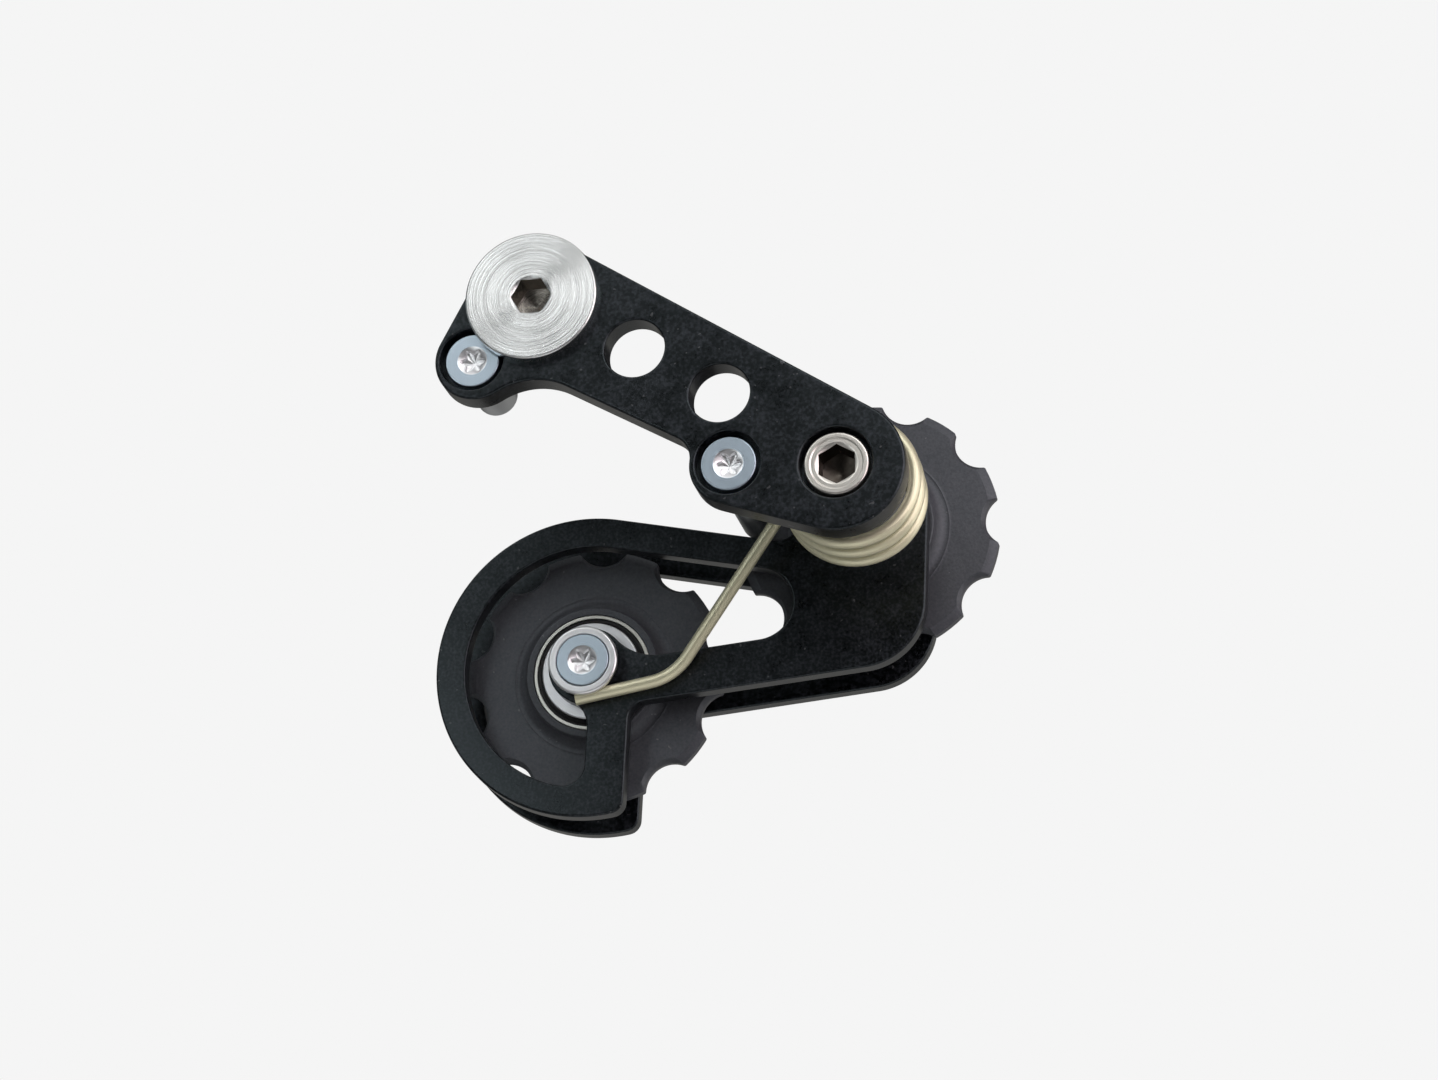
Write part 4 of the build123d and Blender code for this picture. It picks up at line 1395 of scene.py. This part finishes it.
@dataclass
class Wheel:
    """Toothed pulley on a sealed ball bearing."""

    side: str
    at: Point
    phase: float
    body: Body
    teeth: int = 10
    chain_pitch: float = 12.7
    tip_r: float = 18.7
    tip_cut: float = 1.2
    seat_r: float = 4.0
    seat_cut: float = 0.5
    face_step: float = 0.04
    tip_round: float = 0.35
    tooth_steps: tuple[int, ...] = (4, 4, 16, 4)
    half: float = 1.2
    land: float = 0.6
    hub_half: float = 3.1
    flank_at: float = 11.5
    flank_r: float = 1.9
    race_r: float = 8.49
    lip_r: float = 8.0
    track_r: float = 7.1
    track_sink: float = 0.64
    seal_sink: float = 0.35
    seal_t: float = 0.28
    seal_dish: float = 0.1
    seal_bore: float = 5.3
    seal_r: float = 7.98

    def __post_init__(self) -> None:
        """Works out the pitch circle."""
        self.pitch_r = self.chain_pitch / 2 / math.sin(math.pi / self.teeth)

    def build(self) -> None:
        """Makes the pulley, the outer race and the seals."""
        self.pulley()
        self.race()
        self.seals()

    def race(self) -> None:
        """Outer race, with its lips and the track between them."""
        front, back = MID_Y - BEARING_HALF, MID_Y + BEARING_HALF
        track_front, track_back = front + self.track_sink, back - self.track_sink
        rings = softened(
            [(self.lip_r, front, 0), (self.race_r, front, 0.15), (self.race_r, back, 0.15),
             (self.lip_r, back, 0.1), (self.lip_r, track_back, 0), (self.track_r, track_back, 0),
             (self.track_r, track_front, 0), (self.lip_r, track_front, 0), (self.lip_r, front, 0)])
        steel = GROUND.around(self.side + "_outer_steel", self.at).material()
        stock = Stock(self.at, steel, Slot.BEARING, self.body)
        Workpiece(self.side + "_outer_ring").tube(rings).finish(stock, self.side + "_outer_race")

    def seals(self) -> None:
        """Dished rubber seal on each side of the bearing."""
        stock = Stock(self.at, RUBBER.material(), Slot.SEAL, self.body)
        inset = BEARING_HALF - self.seal_sink
        for name, facing in (("front", Facing.FRONT), ("back", Facing.BACK)):
            face = MID_Y - facing.value * inset
            dish = face + facing.value * self.seal_dish
            inner = face + facing.value * self.seal_t
            rings = softened(
                [(self.seal_bore, face, 0), (5.9, face, 0.05), (6.1, dish, 0.05), (7.4, dish, 0.05),
                 (7.6, face, 0.05), (self.seal_r, face, 0), (self.seal_r, inner, 0),
                 (self.seal_bore, inner, 0), (self.seal_bore, face, 0)])
            Workpiece(f"{self.side}_{name}_seal").tube(rings).finish(stock, f"{self.side}_{name}_shield")

    def rim(self, tip_cut: float = 0.0, seat_cut: float = 0.0) -> Outline:
        """Outline of the teeth.

        Args:
            tip_cut: How far the tips are lowered.
            seat_cut: How much wider the roller seats are.

        Returns:
            The outline, with the same steps for any cut.
        """
        circles = []
        tip_r, seat_r = self.tip_r - tip_cut, self.seat_r + seat_cut
        corner = tip_r - self.tip_round
        reach = seat_r + self.tip_round
        lean = math.acos((corner**2 + self.pitch_r**2 - reach**2) / (2 * corner * self.pitch_r))
        step = math.tau / self.teeth
        for index in range(self.teeth):
            seat = self.phase + (index + 0.5) * step
            circles.append((0.0, 0.0, tip_r))
            circles.append((corner * math.cos(seat - lean), corner * math.sin(seat - lean), self.tip_round))
            circles.append((self.pitch_r * math.cos(seat), self.pitch_r * math.sin(seat), -seat_r))
            circles.append((corner * math.cos(seat + lean), corner * math.sin(seat + lean), self.tip_round))
        return Outline(tuple(circles), steps=self.tooth_steps)

    def hub(self) -> list[Ring]:
        """Profile of one side of the hub.

        Returns:
            Radius and height above the wheel's middle, from the face to the bore.
        """
        rings = [Ring(12.0, self.half), Ring(11.75, self.half), Ring(11.6, self.half + 0.06),
                 Ring(self.flank_at, self.half + 0.02)]
        for step in range(1, FLANK_STEPS):
            angle = math.pi / 2 * step / FLANK_STEPS
            rings.append(Ring(self.flank_at - self.flank_r * math.sin(angle),
                              self.hub_half - self.flank_r * math.cos(angle)))
        return rings + [Ring(9.62, 2.9), Ring(9.56, 3.03), Ring(9.44, self.hub_half),
                        Ring(9.38, self.hub_half), Ring(8.72, self.hub_half), Ring(8.6, 3.08), Ring(8.5, 2.95)]

    def pulley(self) -> None:
        """Moulded pulley with tapered teeth and a hollow-flanked hub."""
        piece = Workpiece(self.side + "_pulley_moulded")
        full = self.rim()
        face = self.rim(self.tip_cut, self.seat_cut)
        inner = self.rim(self.tip_cut + self.face_step, self.seat_cut + self.face_step)
        front, back = MID_Y - self.half, MID_Y + self.half
        rims = piece.wall([(inner, 0.0, front), (face, 0.0, front + LIFT), (full, 0.0, front + self.land),
                           (full, 0.0, back - self.land), (face, 0.0, back - LIFT), (inner, 0.0, back)])
        side = self.hub()
        hub = [Ring(ring.radius, MID_Y - ring.y) for ring in side]
        hub += [Ring(ring.radius, MID_Y + ring.y) for ring in reversed(side)]
        for rim, end in zip(rims, piece.turn(hub)):
            piece.fill(rim, end)
        piece.finish(Stock(self.at, NYLON.material(), Slot.NYLON, self.body), self.side + "_pulley")


class InnerPieces:
    """Solids that stay as they are and only get a finish."""

    finishes: dict[str, Callable[[], bpy.types.Material]] = {
        "bearing_balls": GROUND.material,
        "ball_retainer": RETAINER.material,
    }

    def build(self) -> None:
        """Dresses the balls and their retainers."""
        for name, make in self.finishes.items():
            material = make()
            for side in ("upper", "lower"):
                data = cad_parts[f"{side}_{name}"].data
                data.materials.clear()
                data.materials.append(material)
                LOG.info("%s_%s dressed", side, name)


@dataclass(frozen=True)
class Softbox:
    """Soft lamp that faces the part, placed by angle and given by how bright its face is."""

    name: str
    azimuth: float
    elevation: float
    width: float
    height: float
    radiance: float
    colour: Colour = (1.0, 1.0, 1.0)
    distance: float = 0.6

    def build(self, middle: Vector) -> None:
        """Hangs the lamp.

        Args:
            middle: Point that it faces.
        """
        data = bpy.data.lights.new(self.name, "AREA")
        data.shape = "RECTANGLE"
        data.size = self.width
        data.size_y = self.height
        data.energy = self.radiance * math.pi * self.width * self.height
        data.color = self.colour
        made = bpy.data.objects.new(self.name, data)
        turn, rise = math.radians(self.azimuth), math.radians(self.elevation)
        away = Vector((math.sin(turn) * math.cos(rise), -math.cos(turn) * math.cos(rise), math.sin(rise)))
        made.location = middle + away * self.distance
        made.rotation_euler = away.to_track_quat("Z", "Y").to_euler()
        made.visible_camera = False
        bpy.context.scene.collection.objects.link(made)


@dataclass
class Studio:
    """Camera, lamps, world and floor, in metres."""

    eye: tuple[float, float, float] = (0.1196, -0.4750, -0.2016)
    right: tuple[float, float, float] = (0.98081, 0.19494, 0.0)
    up: tuple[float, float, float] = (0.06313, -0.31761, 0.94612)
    back: tuple[float, float, float] = (0.18444, -0.92796, -0.32382)
    middle: tuple[float, float, float] = (0.02, 0.012, -0.032)
    lens: float = 94.03
    shift_x: float = 0.0023
    clip: float = 0.01
    backdrop: float = 0.913
    mirrored: float = 0.02
    glow: float = 0.02
    glow_tone: Colour = (0.93, 0.96, 1.0)
    floor_z: float = -0.42
    floor_half: float = 3.0
    floor_dark: Colour = (0.86, 0.86, 0.86)
    floor_light: Colour = (0.89, 0.89, 0.89)
    floor_cloud: float = 40.0
    floor_roughness: float = 0.8
    floor_tone: float = 0.64
    floor_mirrored: float = 0.1
    lamps: tuple[Softbox, ...] = (
        Softbox("key", -37, 34, 0.36, 0.36, 0.75, (0.95, 0.99, 1.0)),
        Softbox("high", -14, 55, 0.3, 0.3, 0.55),
        Softbox("right_high", 25, 40, 0.36, 0.36, 1.1),
        Softbox("right", 54, 12, 0.17, 0.17, 2.35, (1.0, 0.88, 0.92), distance=0.2),
        Softbox("right_far", 100, 0, 0.5, 0.5, 1.3, (1.0, 0.94, 0.92)),
        Softbox("left", -98, 5, 0.5, 0.5, 0.35, (0.9, 0.97, 1.0)),
        Softbox("top", 0, 82, 0.45, 0.45, 0.5),
        Softbox("under", 10, -62, 0.3, 0.3, 0.5, distance=0.36),
        Softbox("rear", 170, -14, 1.1, 0.7, 0.3, (1.0, 0.97, 0.91)),
        Softbox("ring_card", -29.5, 3.5, 0.05, 0.05, 3.2, (0.95, 0.99, 1.0), distance=0.205),
        Softbox("top_card", -30.3, 34.3, 0.1, 0.04, 2.2, distance=0.252),
        Softbox("corner_card", 9.5, 32.6, 0.04, 0.09, 2.9, distance=0.217),
    )

    def build(self) -> None:
        """Makes the whole stage."""
        self.camera()
        self.world()
        self.floor()
        for lamp in self.lamps:
            lamp.build(Vector(self.middle))

    def camera(self) -> None:
        """Camera at the photograph's place and angle."""
        data = bpy.data.cameras.new("camera")
        data.lens = self.lens
        data.sensor_fit = "HORIZONTAL"
        data.shift_x = self.shift_x
        data.clip_start = self.clip
        made = bpy.data.objects.new("camera", data)
        turned = Matrix((self.right, self.up, self.back)).transposed().to_4x4()
        made.matrix_world = Matrix.Translation(self.eye) @ turned
        bpy.context.scene.collection.objects.link(made)
        bpy.context.scene.camera = made
        bpy.context.scene.view_settings.view_transform = "Standard"

    def world(self) -> None:
        """Pale backdrop that the camera sees, with a dimmer light of nearly the same tone."""
        world = bpy.data.worlds.new("studio")
        world.use_nodes = True
        bpy.context.scene.world = world
        tree = Tree(world.node_tree)
        glow = tree.node("ShaderNodeBackground", None, {"Color": self.glow_tone, "Strength": self.glow})
        shown = tree.node("ShaderNodeBackground", None, {"Color": (self.backdrop,) * 3})
        sky = tree.node("ShaderNodeMixShader", None, {0: tree.seen(self.mirrored), 1: glow, 2: shown})
        tree.feed(world.node_tree.nodes["World Output"].inputs["Surface"], sky)

    def floor(self) -> None:
        """Plain pale floor, well under the held part, that keeps the part's shadow."""
        bm = bmesh.new()
        bmesh.ops.create_grid(bm, x_segments=1, y_segments=1, size=self.floor_half,
                              matrix=Matrix.Translation((0.0, 0.0, self.floor_z)))
        data = bpy.data.meshes.new("floor")
        bm.to_mesh(data)
        bm.free()
        shader = Shader("floor_paper")
        tone = shader.mix(shader.noise(self.floor_cloud), self.floor_dark, self.floor_light)
        shown = shader.mix(shader.seen(self.floor_mirrored), (0.0,) * 3, (self.floor_tone,) * 3)
        data.materials.append(shader.dress(Base_Color=tone, Roughness=self.floor_roughness,
                                           Emission_Color=shown, Emission_Strength=1.0))
        made = bpy.data.objects.new("floor", data)
        bpy.context.scene.collection.objects.link(made)
        LOG.info("stage set")


def main() -> None:
    """Builds every assembly."""
    logging.basicConfig(level=logging.INFO)
    Studio().build()
    MountArm().build()
    Cage().build()
    TorsionSpring().build()
    Wheel("upper", PIVOT, math.radians(19), Body.UPPER_WHEEL).build()
    Wheel("lower", AXLE, math.radians(33), Body.LOWER_WHEEL).build()
    InnerPieces().build()


if __name__ == "__main__":
    main()
